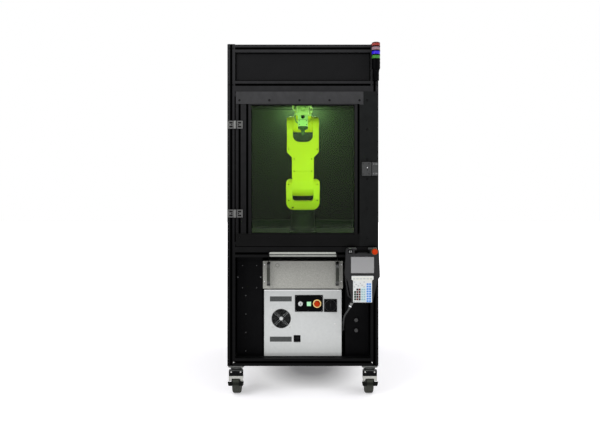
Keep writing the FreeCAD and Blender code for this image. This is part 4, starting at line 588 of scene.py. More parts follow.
finish(
    "pendant_shell", (33, 33, 34), 0.55, 0.08, 0, 0.06, 200, 0.55, 1500, bump_depth=0.00025,
    zones=[((240, 300, -660, -630, 520, 563.5), (112, 113, 112), 0.5, 0.0)],
)
finish("screen_grey", (104, 104, 105), 0.25, 0.3, 0, 0.012, 3, 0, 900, coat=0.1)
# painted shade: the cable is darker lower down, where it runs into the bay
finish("cable_grey", (62, 63, 63), 0.6, 0.1, 0, 0.05, 60, 0.3, 1200, painted_light_by_height=(0.40, 0.3, 0.54, 1.1))
finish("start_green", (146, 200, 158), 0.35, 0.5, 0, 0.02, 60, 0.05, 900, emit=((150, 215, 165), 0.18))
finish("lamp_lens", (0.9, 0.95, 0.9, 1), 0.4, 0.5, 0, 0.02, 60, 0.05, 900, emit=((0.9, 1.0, 0.86, 1), 60.0))
finish(
    "caster_fork", (158, 158, 153), 0.35, 0.04, 0.8, 0.12, 90, 0.2, 420, scuffs=0.15,
    zones=[
        ((-460, 460, -589.6, -573, 104, 158), (9, 9, 10), 0.45, 0.0),
        ((-460, 460, -600, 600, 150.5, 176), (60, 61, 60), 0.45, 0.3),
    ],
)
finish(
    "brake_pedal", (20, 21, 19), 0.5, 0.06, 0, 0.12, 90, 0.3, 900, scuffs=0.5,
    zones=[((376, 411, 570, 610, 60, 121, True), (50, 52, 46), 0.6, 0.0)],
)
finish("caster_wheel", (64, 65, 60), 0.8, 0.1, 0, 0.16, 70, 0.5, 600, scuffs=0.25)
finish("tread_band", (56, 57, 53), 0.85, 0.15, 0, 0.2, 60, 0.6, 500, scuffs=0.3)
for name, colour in {
    "blue": (78, 124, 188), "blue_ground": (172, 190, 210), "centre": (128, 160, 166),
    "centre_ground": (176, 190, 192), "cream": (192, 192, 184), "mark": (120, 122, 124),
    "green": (26, 48, 32), "dark": (20, 18, 19), "red": (84, 32, 26), "pale": (162, 166, 168),
}.items():
    finish("key_" + name, colour, 0.5, 0.15, 0, 0.04, 300, 0.1, 900)

# ribbed translucent lenses: fine upright ribs in the bump, a little light of their own
for name, colour, glow in (
    ("red", (130, 40, 32), 0.03), ("white", (131, 104, 112), 0.03), ("blue", (40, 18, 184), 0.06),
    ("green", (51, 116, 36), 0.03),
):
    lens = finish(
        "lens_" + name, colour, 0.25, 0.15, 0, 0.05, 40, 0, 900, coat=0.05, emit=(colour, glow),
        subsurface=0.2,
    )
    wave = lens.node_tree.nodes.new("ShaderNodeTexWave")
    wave.wave_type = "RINGS"
    wave.rings_direction = "Z"
    wave.inputs["Scale"].default_value = 90
    link(lens.node_tree, place_in(lens.node_tree, "Generated"), wave.inputs["Vector"])
    add_bump(lens.node_tree, wave.outputs["Fac"], 0.35, 0.0006)


def pane_material():
    """Tinted laser-safe pane; lamps shine through it."""
    mat = bpy.data.materials.new("laser_safe_pane")
    mat.use_nodes = True
    tree = mat.node_tree
    shader = tree.nodes["Principled BSDF"]
    shader.inputs["Base Color"].default_value = (0.58, 0.90, 0.40, 1)
    shader.inputs["Roughness"].default_value = 0.02
    shader.inputs["IOR"].default_value = 1.2
    shader.inputs["Transmission Weight"].default_value = 1.0
    clear = tree.nodes.new("ShaderNodeBsdfTransparent")
    clear.inputs["Color"].default_value = (0.42, 0.85, 0.3, 1)
    path = tree.nodes.new("ShaderNodeLightPath")
    mix = tree.nodes.new("ShaderNodeMixShader")
    sources = (path.outputs["Is Shadow Ray"], shader.outputs[0], clear.outputs[0])
    for socket, source in zip(mix.inputs, sources):
        link(tree, source, socket)
    link(tree, mix.outputs[0], tree.nodes["Material Output"].inputs["Surface"])
    return mat


LOOKS["laser_safe_pane"] = pane_material()
cable.data.materials.append(LOOKS["cable_grey"])
CORNERS = ("front_left", "front_right", "rear_left", "rear_right")
for look, *nodes in (
    ("bar_black", "frame_rails"), ("post_black", "frame_posts"), ("door_black", "door_frame"),
    ("header_black", "header_panel"), ("panel_black", "side_panels", "roof_and_ceiling"),
    ("inner_black", "rear_panels"), ("deck_metal", "work_deck"), ("light_bar", "bay_light_bar"),
    ("bay_black", "bay_panels", "cable_glands"),
    ("lamp_lens", "chamber_light"), ("source_panel", "laser_source"), ("dark_handle", "laser_source_handles"),
    ("controller_grey", "controller_case"), ("plate_black", "controller_switch_plates"),
    ("black_plastic", "controller_fan", "controller_fan_guard", "disconnect_handle", "pendant_key_switch"),
    ("tower_black", "stack_light_base"), ("lens_red", "stack_light_red"), ("lens_white", "stack_light_white"),
    ("lens_blue", "stack_light_blue"), ("lens_green", "stack_light_green"),
    ("rubber_black", "pendant_holder"),
    ("brake_pedal", "caster_brake_pedal_left", "caster_brake_pedal_right"), ("zinc", "caster_top_plates"),
    ("hinge_metal", "hinge_frame_leaves", "hinge_door_leaves"), ("cover_black", "door_cover_plates"),
    ("lock_grey", "interlock_switch", "interlock_block"), ("laser_safe_pane", "door_window"),
    ("robot_dark", "robot_base"),
    ("robot_yellow", "robot_turret", "robot_lower_arm", "robot_elbow", "robot_forearm", "robot_wrist"),
    ("head_metal", "tool_bracket", "laser_head"), ("pendant_shell", "pendant_body"),
    ("keypad_white", "pendant_keypad", "mode_key_switch"), ("screen_grey", "pendant_screen"),
    ("stop_red", "pendant_estop", "controller_estop"),
    ("enable_grey", "pendant_enable_bar"), ("start_green", "cycle_start_button"),
    ("caster_fork", *["caster_fork_" + corner for corner in CORNERS]),
    ("caster_wheel", *["caster_wheel_" + corner for corner in CORNERS]),
):
    dress(look, *nodes)

# ---- frame: caps on the bars' ends, screws, gaskets, louvres
shaped("post_caps", "black_plastic", "cabinet", *[
    (add_prism, pad(x, y, 22, 22, 3), "z", 2068, 2071, 1.0) for x in (-420, 420) for y in (-577.5, 577.5)
])
screws("corner_screws", "screw_steel", "cabinet", [(x, -600, 206) for x in (-405, 405)], OUT, 4.2, flat=True)
for name, y, axis in (("rear", 600, BACKWARD), ("front", -600, OUT)):
    places = [(s * x, y, z) for s in (-1, 1) for x in (431.25, 408.75) for z in (2045.5, 1832.5)]
    screws("joint_screws_" + name, "screw_black", "cabinet", places, axis, 4.0, flat=True)
# painted shade: a dark rubber frame round the header panel, which also stands in for the shade at the panel's
# recessed edge
face = on_front("header_panel", 0, 1940).y
shaped(
    "header_gasket_shade", "rubber_black", "cabinet",
    (add_frame, -397, 397, 1856, 2022, 6.0, "y", face - 5, face + 0.5, 1.5), angle=50,
)


def edge_places(u0, u1, v0, v1, inset, pitch):
    """Evenly spaced places along the four edges of a panel, a little in from them."""
    a0, a1, b0, b1 = u0 + inset, u1 - inset, v0 + inset, v1 - inset
    across, up = max(1, round((a1 - a0) / pitch)), max(1, round((b1 - b0) / pitch))
    places = [(a0 + (a1 - a0) * i / across, b) for i in range(across + 1) for b in (b0, b1)]
    return places + [(a, b0 + (b1 - b0) * i / up) for i in range(1, up) for a in (a0, a1)]


PANEL_ROWS = ((229, 820.5), (911.5, 1809.5), (1855.5, 2022.5))
HEADS = (4.2, 1.9, True)
heads, rims = [], []
for z0, z1 in PANEL_ROWS:
    middle = (z0 + z1) / 2
    for side in (-1, 1):
        for y, z in edge_places(-554, 554, z0, z1, 16, 260):
            place, _ = surface_point("side_panels", (side * FAR, y, z), (-side, 0, 0))
            heads.append((add_screw, place, (side, 0, 0), *HEADS))
        face = surface_point("side_panels", (side * FAR, 0, middle), (-side, 0, 0))[0].x
        rims.append((add_frame, -554.5, 554.5, z0, z1, 5.0, "x", *sorted((face, face + side * 3.0)), 0.8))
    places = edge_places(-397, 397, z0, z1, 16, 240)
    heads += [(add_screw, on_back(x, z), BACKWARD, *HEADS) for x, z in places]
    face = on_back(0, middle).y
    rims.append((add_frame, -397.5, 397.5, z0, z1, 5.0, "y", face, face + 3.0, 0.8))
roof = surface_point("roof_and_ceiling", (0, 0, 2300), -UP)[0].z
heads += [(add_screw, (x, y, roof), UP, *HEADS) for x, y in edge_places(-397, 397, -554, 554, 16, 270)]
rims.append((add_frame, -397.5, 397.5, -554.5, 554.5, 5.0, "z", roof, roof + 3.0, 0.8))
shaped("panel_screws", "screw_dim", "cabinet", *heads, angle=40)
shaped("panel_gaskets", "rubber_black", "cabinet", *rims, angle=50)

rear = on_back(0, 520).y
louvres = [(x, 400 + 26 * i) for x in (-250, -70, 110) for i in range(9)]
shaped("rear_louvres", "panel_black", "cabinet", *[
    (add_prism, [(rear, z), (rear + 6.5, z), (rear + 5.8, z + 3), (rear, z + 13)], "x", x, x + 140, 0.6)
    for x, z in louvres
], angle=40)
# painted shade: a thin black strip under each louvre stands in for the dark opening behind it
shaped("rear_louvre_slot_shade", "painted_hole_shade", "cabinet", *[
    (add_box, x + 3, x + 137, rear - 0.4, rear + 0.3, z - 3.2, z) for x, z in louvres
])

# ---- door: gasket round the pane, screws
shaped("window_gasket", "rubber_black", "door", *[
    (add_frame, -303.4, 303.4, 961.1, 1714.9, 2.2, "y", *depth, 0.6)
    for depth in ((-585.5, -581.05), (-574.95, -570.5))
], angle=50)
covers = [(x, -604.5, z) for x in (-371.6, -196, -19.6, 156, 331.7) for z in (1741, 938)]
covers += [(375.7, -604.5, z) for z in (1741, 1570, 1395, 1280, 1107, 937)]
# painted shade: black discs round the cover screws stand in for the shade in their recesses
turned("cover_holes", "painted_hole_shade", "door", covers, OUT, [(0, 0.12), (5.0, 0.12), (5.6, 0.3), (6.2, 0.0)])
screws("cover_screws", "screw_black", "door", covers, OUT, 3.2, h=0.9, flat=True)
HINGES = (1078.0, 1598.0)
LEAVES = (("cabinet", "hinge_frame_leaves", -420.75, 4.5), ("door", "hinge_door_leaves", -370.25, -6.5))
# painted shade: black pads and discs round the hinge screws stand in for the shade in their recesses
for body, node, x, plug in LEAVES:
    heads, rims = [], []
    for z0 in HINGES:
        for dz in (-11.5, 11.5):
            at = on_front(node, x, z0 + dz)
            rims.append((add_prism, pad(x, at.z, 9.6, 4.4, 4.2), "y", at.y - 0.3, at.y + 0.3))
            heads.append((add_screw, at, OUT, 3.2, 1.0, True))
        rims.append((add_lathe, [(0, 0.3), (3.2, 0.3), (3.7, 0)], on_front(node, x + plug, z0), OUT, 20))
    shaped("hinge_screws_" + body, "screw_black", body, *heads, angle=40)
    shaped("hinge_recesses_" + body, "painted_hole_shade", body, *rims, angle=40)

# ---- interlock: screws, a status light, covers
places = [(420, -613.4, z) for z in (1311.8, 1367.2)]
screws("interlock_screws_switch", "screw_black", "cabinet", places, OUT, 3.0, h=1.4, flat=True)
places = [(x, -616.5, z) for x in (351, 386) for z in (1309.5, 1369.5)]
screws("interlock_screws_block", "screw_black", "door", places, OUT, 2.8, flat=True)
BLOCK_FACE = -617.3
dot = [(0, 1.4), (2.0, 1.1), (2.7, 0)]
turned("interlock_light", "white_plastic", "door", [(376.5, BLOCK_FACE, 1346.5)], OUT, dot)
# painted shade: a black disc stands in for a hole in the block
dot = [(0, 0.2), (2.2, 0.2), (2.6, 0)]
turned("interlock_hole", "painted_hole_shade", "door", [(376.5, BLOCK_FACE, 1334.0)], OUT, dot)
shaped("interlock_switch_caps", "lock_light", "cabinet", *[
    (add_prism, rounded(410, 437, z, z + 9.5, 2), "y", -613.6, -611.9, 0.5) for z in (1362.5, 1307.0)
])
shaped(
    "interlock_bolt_cover", "lock_grey", "door",
    (add_prism, rounded(346.5, 384, 1309, 1370, 3), "y", BLOCK_FACE, -616.4, 0.3),
    (add_prism, rounded(389, 397.5, 1314, 1364, 2), "y", -617.6, -616.4, 0.3),
)
outline = rounded(405.5, 434.5, 1317, 1361, 3)
shaped("interlock_switch_cover", "lock_grey", "cabinet", (add_prism, outline, "y", -612.9, -611.9, 0.3))

# ---- signal tower: seam rings, knurled foot
TOWER = (424.5, -632.0)
seam = [(24.05, -3.6), (24.7, -3.0), (24.7, 3.0), (24.05, 3.6), (22.5, 3.6), (22.5, -3.6)]
shaped(
    "tower_rings", "tower_black", "cabinet",
    *[(add_lathe, seam, (*TOWER, z), UP, 40, True) for z in (1975.6, 2000.2, 2024.8, 2049.4)],
    (add_lathe, [(24.0, -5.0), (24.7, -4.4), (24.7, 4.4), (24.0, 5.0)], (*TOWER, 1955), UP, 40), angle=40,
)
seam = [(23.9, -1.2), (24.6, -0.8), (24.6, 0.8), (23.9, 1.2)]
shaped(
    "tower_cap_rim", "tower_black", "cabinet",
    (add_lathe, [(0, 1.6), (13, 1.5), (17.6, 0.4), (18, -0.5)], (*TOWER, 2074), UP, 36),
    *[(add_lathe, seam, (*TOWER, z), UP, 40) for z in (1926, 1934)], angle=40,
)
screws("tower_screws", "screw_black", "cabinet", [(TOWER[0], -649.4, 1905)], OUT, 3.4, flat=True)

# ---- bay: screws, studs, glands, light bar
places = [(-345, -480, z) for z in (575, 463, 352, 240)]
screws("bay_sheet_screws", "screw_dim", "cabinet", places, OUT, 4.0, flat=True)
places = [on_front("bay_panels", x, z) for x in (-365, -279) for z in (757, 623)]
screws("bay_cover_screws", "screw_dim", "cabinet", places, OUT, 3.6, flat=True)
places = [on_front("bay_panels", x, 687) for x in (-393, -255)]
turned("bay_cover_studs", "lock_light", "cabinet", places, OUT, [(0, 2.2), (2.6, 2.0), (3.8, 1.2), (4.2, 0)])
GLANDS = (428.0, 366.0)
nut = [((15.0,), 0), ((15.0,), 5.5), (13.4, 6.4), (13.4, 8)]
turned("gland_nuts", "bay_black", "cabinet", [(322, -480, z) for z in GLANDS], OUT, nut, 36, 35)
plug = [(0, 5.4), (2.6, 5.2), (3.2, 4.4), (6.4, 4.9), (9.4, 4.4), (11.4, 2.6), (11.9, 0)]
turned("gland_plugs", "gland_grey", "cabinet", [(322, -488, z) for z in GLANDS], OUT, plug, 40)
shaped("light_bar_caps", "black_plastic", "cabinet", *[
    (add_prism, rounded(x, x + 6, 824.6, 853.4, 1.5), "y", -613, -600, 0.5) for x in (-201.5, 194.7)
])
line = (add_box, -195.5, 194.7, -612.4, -611.9, 837.4, 841.6, 0.2)
shaped("light_bar_line", "black_gloss", "cabinet", line)

# ---- controller: seams, vents, fan guard, operator panel, disconnect
CASE_FRONT, PLATE = -480.0, -484.0
CASE_SIDE = 235
KNOB = 526.6
shaped("controller_lid_edge", "lid_edge", "cabinet", (add_box, -233, 233, -480.8, -479.6, 603.5, 607.5, 0.4))
head = [(0, 1.3), ((1.9,), 1.3), ((1.9,), 2.0), (3.6, 2.0), (4.1, 1.3), (4.2, 0)]
parts = []
for side in (-1, 1):
    x = side * CASE_SIDE
    parts.append((add_box, x - 0.6, x + 0.6, -470, -168, 600, 601.4, 0.2))
    parts += [(add_lathe, head, (x, y, z), (side, 0, 0), 18) for y in (-440, -320, -200) for z in (240, 585)]
shaped("controller_side_screws", "screw_steel", "cabinet", *parts, angle=40)
parts = []
for z in (554.6, 311.1):
    parts.append((add_prism, rounded(-199.5, -67.5, z - 15.5, z + 15.5, 2), "y", -478.2, -477.2))
    for i in range(34):
        x = -197.0 + i * 3.85
        parts.append((add_box, x, x + 1.1, -478.6, -478.0, z - 15, z + 15))
shaped("vent_mesh", "vent_mesh", "cabinet", *parts)


def side_vents(name, x, rows, starts, length):
    """Rows of rounded slots on both sides of a housing, a piece for each side: thin gloss-black shapes on the
    surface, painted shade standing in for the openings.
    """
    for side, word in ((-1, "left"), (1, "right")):
        shaped(name + word, "black_gloss", "cabinet", *[
            (add_prism, rounded(y, y + length, z, z + 5.5, 2.7), "x", side * x - 0.3, side * x + 0.3)
            for z in rows for y in starts
        ])


side_vents("controller_side_vents_", CASE_SIDE, [330 + i * 13 for i in range(9)], (-400, -330, -260), 56)
FAN = (-131.0, 436.1)
shaped("fan_guard_wires", "guard_wire", "cabinet", *[
    (add_tube, circle_places((FAN[0], -483.0, FAN[1]), r, 56, "y"), 0.7, 8, True)
    for r in (20, 26.5, 33, 39.5, 46, 52.5)
], angle=60)
struts = []
for a in (45, 135, 225, 315):
    along = Vector((math.cos(math.radians(a)), 0, math.sin(math.radians(a))))
    across = Vector((-along.z, 0, along.x))
    for shift in (-4.5, 4.5):
        line = [Vector((FAN[0], -484.3, FAN[1])) + along * r + across * shift for r in (10, 34, 58)]
        struts.append((add_tube, line, 0.8, 8))
shaped("fan_guard_struts", "guard_strut", "cabinet", *struts, angle=60)
hub = [(0, 3.6), (8.5, 3.6), (10.4, 3.0), (11.0, 1.6), (11.0, 0)]
turned("fan_guard_hub", "keypad_white", "cabinet", [(FAN[0], -482, FAN[1])], OUT, hub, 40)


def corners(x, y, z, half_x, half_z):
    return [(x + i * half_x, y, z + j * half_z) for i in (-1, 1) for j in (-1, 1)]


head = [(0, 1.6), (2.0, 1.6), (2.4, 2.4), (4.2, 1.9), (4.8, 0)]
places = corners(FAN[0], CASE_FRONT, FAN[1], 52.5, 52.5)
turned("fan_screws", "screw_steel", "cabinet", places, OUT, head, 20, 40)
hub = [(0, 1.5), (12, 1.4), (17, 0.9), (19.6, -0.8)]
turned("fan_hub_cap", "black_plastic", "fan", [(FAN[0], -474, FAN[1])], OUT, hub)
head = [(0, 0.9), (1.4, 0.9), (1.7, 1.7), (3.0, 1.3), (3.4, 0)]
turned("operator_panel_screws", "screw_dim", "cabinet", corners(36.5, PLATE, 528.1, 78, 43.5), OUT, head)

MODE_KEY = [(-14.5, PLATE, KNOB)]
STOP = [(86, PLATE, KNOB)]
collar = [(13.6, 0.1), (13.6, 2.6), (14.6, 3.2), (18.4, 2.6), (19.4, 1.0), (19.4, 0.1)]
turned("mode_key_collar", "black_gloss", "cabinet", MODE_KEY, OUT, collar, 44)
face = [(0, 8.5), (2.0, 8.4), (9.0, 8.4), (12.6, 8.0), (14.0, 6.6), (14.2, 1.0), (14.2, 0.6)]
turned("mode_key_face", "keypad_white", "mode_key", MODE_KEY, OUT, face, 44)
outline = rounded(-16.0, -13.0, KNOB - 6, KNOB + 6, 1.4)
shaped("mode_key_grip", "lock_light", "mode_key", (add_prism, outline, "y", -500.6, -492.2, 0.5))
shaped(
    "start_button_frame", "black_gloss", "cabinet",
    (add_frame, 20.3, 52.7, KNOB - 16.2, KNOB + 16.2, 3.4, "y", -487.6, -484.0, 0.9), angle=40,
)
outline = rounded(26.0, 47.0, KNOB - 10.5, KNOB + 10.5, 2.4)
shaped("start_button_lens", "start_green", "start_button", (add_prism, outline, "y", -494.1, -493.1, 0.35))
collar = [(18.3, 0.05), (18.3, 1.9), (19.2, 2.8), (23.6, 2.4), (25.0, 1.2), (25.0, 0.05)]
turned("controller_stop_collar", "ring_yellow", "cabinet", STOP, OUT, collar, 56)
cap = [
    (0, 18.3), (6, 18.2), (12.4, 17.3), (16.0, 15.0), (17.2, 12.4), (17.3, 9.4), (16.4, 7.4), (13.0, 5.6),
    (12.2, 4.8)
]
turned("controller_stop_cap", "stop_red", "controller_stop", STOP, OUT, cap, 48, 45)
SWITCH_X, SWITCH_Z = 167.0, 515.1
ring = [(33.2, 0.05), (33.2, 1.6), (34.0, 2.0), (35.0, 1.6), (35.0, 0.05)]
turned("disconnect_ring", "screw_dim", "cabinet", [(SWITCH_X, PLATE, SWITCH_Z)], OUT, ring, 64)
edges = (SWITCH_X - 39, SWITCH_X + 39, SWITCH_Z - 39, SWITCH_Z + 39)
shaped("disconnect_plate_edge", "black_gloss", "cabinet", (add_frame, *edges, 1.6, "y", -484.6, -484.0, 0.2))
head = [(0, 0.8), (1.3, 0.8), (1.6, 1.5), (2.8, 1.2), (3.1, 0)]
turned("disconnect_screws", "screw_black", "cabinet", corners(SWITCH_X, PLATE, SWITCH_Z, 34, 34), OUT, head)
mark = rounded(SWITCH_X - 1.2, SWITCH_X + 1.2, SWITCH_Z + 16, SWITCH_Z + 26, 1.1)
shaped(
    "disconnect_grip_cap", "black_gloss", "disconnect",
    (add_prism, pad(SWITCH_X, SWITCH_Z, 6.0, 28, 5.5), "y", -509.6, -507.5, 0.9),
    (add_prism, mark, "y", -510.1, -509.2, 0.2),
)
head = [(0, 1.0), (1.8, 1.0), (2.2, 0)]
shaped(
    "port_cover", "black_gloss", "cabinet",
    (add_frame, -53.5, -16.5, 296.6, 333.6, 3.0, "y", -483.3, -481.9, 0.5),
    *[(add_lathe, head, (x, -482, z), OUT, 14) for z in (301.6, 328.6) for x in (-48.5, -21.5)],
    (add_prism, rounded(-46, -24, 304, 326, 2), "y", -484.6, -481.9, 0.6), angle=40,
)
turned("case_mark", "screw_steel", "cabinet", [(196, CASE_FRONT, 403)], OUT, [(0, 0.7), (3.2, 0.6), (4.0, 0)])
outline = rounded(-433, -367, 347, 397, 4)
shaped("cable_socket_plate", "black_plastic", "cabinet", (add_prism, outline, "x", 249, 255.6, 0.8))

# ---- laser source: screws, round mark, handles, vents
HANDLES = (-206.5, 206.5)
head = [(0, 1.0), ((1.8,), 1.0), ((1.8,), 1.9), (3.2, 1.7), (3.7, 0.8), (3.8, 0)]
places = [(x, CASE_FRONT, z) for x in (-232, 232) for z in (659.7, 762.0)]
turned("source_panel_screws", "white_plastic", "cabinet", places, OUT, head, 22, 40)
plug = [(8.6, 0.05), (8.8, 0.5), (12.6, 0.5), (12.9, 0.05)]
turned("source_round_plug", "faint_mark", "cabinet", [(-154, CASE_FRONT, 757.1)], OUT, plug, 44)
places = [(x, CASE_FRONT, z) for x in HANDLES for z in (644.1, 771.1)]
flange = [(8.6, 0), (8.6, 2.4), (8.0, 3.2), (5.5, 3.2)]
turned("handle_flanges", "black_plastic", "cabinet", places, OUT, flange, 30, 40)
shaped("handle_grips", "handle_grip", "cabinet", *[
    (add_prism, rounded(x - 9.5, x + 9.5, 667, 748, 4), "y", -518.9, -517.2, 0.7) for x in HANDLES
])
side_vents("source_vents_", 220, [640 + i * 15 for i in range(7)], (-420, -340, -260, -180, -100), 62)

# ---- pendant: bezel, keypad, knobs, strap
PENDANT_FACE = -670.0
KEY_FACE = -672.5
bezel = (add_frame, 272.6, 413.4, 734.6, 836.4, 4.2, "y", -671.1, -669.6, 0.5)
shaped("screen_bezel", "pendant_grey", "pendant", bezel)


def keys(name, places, width, height, colour, proud=1.1):
    """Raised rounded pads of one colour and size on the keypad."""
    corner = min(width, height) * 0.16
    shaped(name, "key_" + colour, "pendant", *[(
        add_prism, pad(x, z, width / 2, height / 2, corner, 3), "y", KEY_FACE - proud, KEY_FACE + 0.2,
        min(0.35, proud / 3),
    ) for x, z in places])


ROWS = [676 - 14 * i for i in range(8)]
LOW_ROWS = [645, 631, 617, 603, 589]
keys("keypad_ground_right", [(379.2, 626.5)], 30.0, 110.0, "blue_ground", 0.3)
keys("keypad_ground_centre", [(347.0, 616.0)], 28.0, 84.0, "centre_ground", 0.3)
keys("keypad_ground_top", [(343.0, 707.0)], 118.0, 20.0, "cream", 0.3)
keys("keys_motion", [(x, z) for x in (371.8, 386.2) for z in ROWS], 11.0, 9.6, "blue")
keys("keys_centre", [(x, z) for x in (340.5, 353.5) for z in LOW_ROWS], 9.2, 7.6, "centre")
keys("keys_green", [(300, z) for z in LOW_ROWS[1:]], 10.6, 11.4, "green")
keys("keys_dark", [(313, 645), (313, 617), (313, 603), (326, 631), (326, 589)], 10.6, 11.4, "dark")
keys("keys_red", [(313, 631), (313, 589), (326, 645), (326, 617), (326, 603)], 10.6, 11.4, "red")
keys("keys_top_row", [(294 + 19.6 * i, 707) for i in range(6)], 13.5, 7.0, "pale")
marks = [(296, 688), (352, 688), (330, 681), (306, 674), (318, 666), (340, 670), (296, 660), (352, 660)]
keys("keys_marks", marks, 5.6, 4.2, "mark")
keys("keys_bottom", [(x, 576.5) for x in (296, 310, 324)], 10.0, 4.6, "pale")

KEY_X, STOP_X, KNOBS_Z = 273.0, 413.0, 863.0
KEY_KNOB = [(KEY_X, PENDANT_FACE, KNOBS_Z)]
STOP_KNOB = [(STOP_X, PENDANT_FACE, KNOBS_Z)]
outline = rounded(KEY_X - 13, KEY_X + 13, KNOBS_Z - 13, KNOBS_Z + 11.5, 2.5)
shaped("pendant_key_square", "black_gloss", "pendant", (add_prism, outline, "y", -671.0, -669.6, 0.4))
face = [(0, 6.6), (4.0, 6.6), (4.6, 7.9), (6.4, 7.8), (7.2, 7.0), (7.4, 0.9)]
turned("pendant_key_face", "keypad_white", "pendant_key", KEY_KNOB, OUT, face, 40)
grip = (add_prism, pad(KEY_X, KNOBS_Z, 1.2, 3.4, 1.0), "y", -679.6, -676.0, 0.4)
shaped("pendant_key_grip", "black_gloss", "pendant_key", grip)
collar = [(17.1, 0.05), (17.1, 1.8), (17.9, 2.4), (19.0, 1.8), (19.6, 0.6), (19.6, 0.05)]
turned("pendant_stop_collar", "olive_ring", "pendant", STOP_KNOB, OUT, collar, 52)
cap = [
    (0, 19.1), (6, 19.0), (11.2, 18.7), (14.6, 16.2), (16.3, 13.6), (16.4, 10.0), (15.4, 7.8), (12.6, 5.8),
    (11.6, 4.8)
]
turned("pendant_stop_cap", "stop_red", "pendant_stop", STOP_KNOB, OUT, cap, 48, 45)
shaped("pendant_ear_edges", "ear_edge", "pendant", *[
    (add_box, x0, x1, -669.2, -640, 881.2, 882.5, 0.5) for x0, x1 in ((262, 308), (378, 428))
])
STRAP = [(245.6, 703), (246.5, 690), (252.5, 650), (258.8, 613), (262.5, 600), (272, 590.5)]
stitches = []
for y in (-658, -629):
    for (xa, za), (xb, zb) in zip(STRAP, STRAP[1:]):
        for i in range(5):
            parts = (i / 5 + 0.04, i / 5 + 0.15)
            ends = [(xa + (xb - xa) * t - 1.9, y, za + (zb - za) * t) for t in parts]
            stitches.append((add_tube, ends, 0.55, 6))
shaped("strap_stitches", "rubber_black", "pendant", *stitches, angle=60)

# ---- pendant cable: white ring, strain relief, boot at the controller
way = (Vector(CORD_ROUTE[1]) - Vector(CORD_ROUTE[0])).normalized()
gland_end = Vector(CORD_ROUTE[0]) * 1000
ring = [(5.0, -6), (7.4, -6), (7.8, -4.5), (7.8, -0.5), (7.2, 1.0), (5.0, 1.0)]
shaped("cable_ring", "white_plastic", "pendant", (add_lathe, ring, gland_end, way, 32, True))
relief = [(5.0, 0.0), (6.9, 0.0), (6.9, 2.0)]
for i in range(6):
    d, r = 2.0 + i * 3.4, 6.8 - i * 0.28
    relief += [(r, d + 0.6), (r - 0.1, d + 2.2), (r - 0.9, d + 2.5), (r - 0.9, d + 3.3)]
relief += [(5.1, 23.5), (4.6, 24.5)]
turned("cable_strain_relief", "cable_grey", "pendant", [gland_end], way, relief, 28, 40)
boot = [(4.6, 15), (6.6, 14), (8.4, 6), (10.5, 4), (12.5, 3.6), (12.5, 0)]
turned("cable_socket_boot", "rubber_black", "cabinet", [(245.5, -430, 372)], OUT, boot, 32, 40)

# ---- chamber lamp: housing rails, end caps, brackets
shaped(
    "lamp_housing", "panel_black", "cabinet",
    *[(add_box, -178, 178, y - 3.4, y + 3.4, 1806.5, 1827.4, 0.8) for y in (116.5, 183.5)],
    *[(add_box, x - 3.2, x + 3.2, 116, 184, 1806, 1827.4, 0.8) for x in (-178, 178)],
    *[(add_box, x - 9, x + 9, 108, 192, 1825.2, 1827.4, 0.5) for x in (-120, 120)], angle=40,
)

# ---- arm: joint covers, bolts, seams, connectors
AXIS_2_Z, AXIS_3_Z, FOREARM_Z = 1219.3, 1650.3, 1685.3
WRIST_Y, BASE_Y, BASE_BACK, MOTOR_BACK = -355, 30, 157, 85


def joint_cover(name, x, y, z, side, r, body, bolts=6):
    """A domed cover on the side of a joint with a ring of bolts."""
    dome = [(0, 3.4), (0.3, 3.3), (0.62, 2.6), (0.66, 1.6), (0.9, 1.4), (0.98, 0.8), (1, 0)]
    dome = [(r * share, out) for share, out in dome]
    turned(name, "robot_yellow", body, [(x, y, z)], (side, 0, 0), dome, 56)
    places = circle_places((x + side * 1.4, y, z), r * 0.79, bolts, "x", 30)
    screws(name + "_bolts", "screw_black", body, places, (side, 0, 0), r * 0.075, r * 0.05)


for side, word in ((-1, "left"), (1, "right")):
    joint_cover("shoulder_cover_" + word, side * 111, -20, AXIS_2_Z, side, 42, "turret")
    joint_cover("elbow_cover_" + word, side * 106.5, -20, AXIS_3_Z, side, 38, "lower_arm")
    joint_cover("wrist_cover_" + word, side * 48.4, WRIST_Y, FOREARM_Z, side, 25, "forearm", 5)

ARM_BOLTS = {
    "turret": [(-95, 1242.6), (95, 1242.6), (-95, 1136), (95, 1136)],
    "lower_arm": [(-57.6, 1413), (57.6, 1413), (-57.6, 1331), (57.6, 1331), (-95, 1479), (95, 1479)],
}
for body, places in ARM_BOLTS.items():
    heads, rims = [], []
    for x, z in places:
        place, normal = surface_point("robot_" + body, (x, -FAR, z), BACKWARD)
        rims.append((add_lathe, [(4.2, 0.3), (5.6, 0.9), (6.6, 0.5), (7.2, -0.6)], place, normal, 26))
        heads.append((add_screw, place, normal, 4.3, 1.6, True))
    shaped("arm_bolts_" + body, "screw_black", body, *heads, angle=40)
    shaped("arm_bolt_bosses_" + body, "robot_yellow", body, *rims, angle=40)
washer = [(7.0, 0), (13.0, 0.2), (13.0, 1.8), (12.4, 2.2), (7.0, 2.2)]
parts = []
for at in [(x, y, 923) for x in (-78, 78) for y in (-48, 108)]:
    parts += [(add_screw, at, UP, 8.0, 7.0), (add_lathe, washer, at, UP, 28)]
shaped("base_bolts", "screw_steel", "cabinet", *parts, angle=40)
shaped(
    "base_seams", "robot_dark", "cabinet",
    (add_lathe, [(84.6, 1064), (85.2, 1064.6), (85.2, 1068.4), (84.6, 1069)], (0, BASE_Y, 0), UP, 72),
    (add_lathe, [(80.4, 975), (81.0, 975.5), (81.0, 979), (80.4, 979.6)], (0, BASE_Y, 0), UP, 72),
)
connectors = [(x, 985, 12) for x in (-30, 0, 30)] + [(x, 952, 9) for x in (-24, 8, 36)]
parts = []
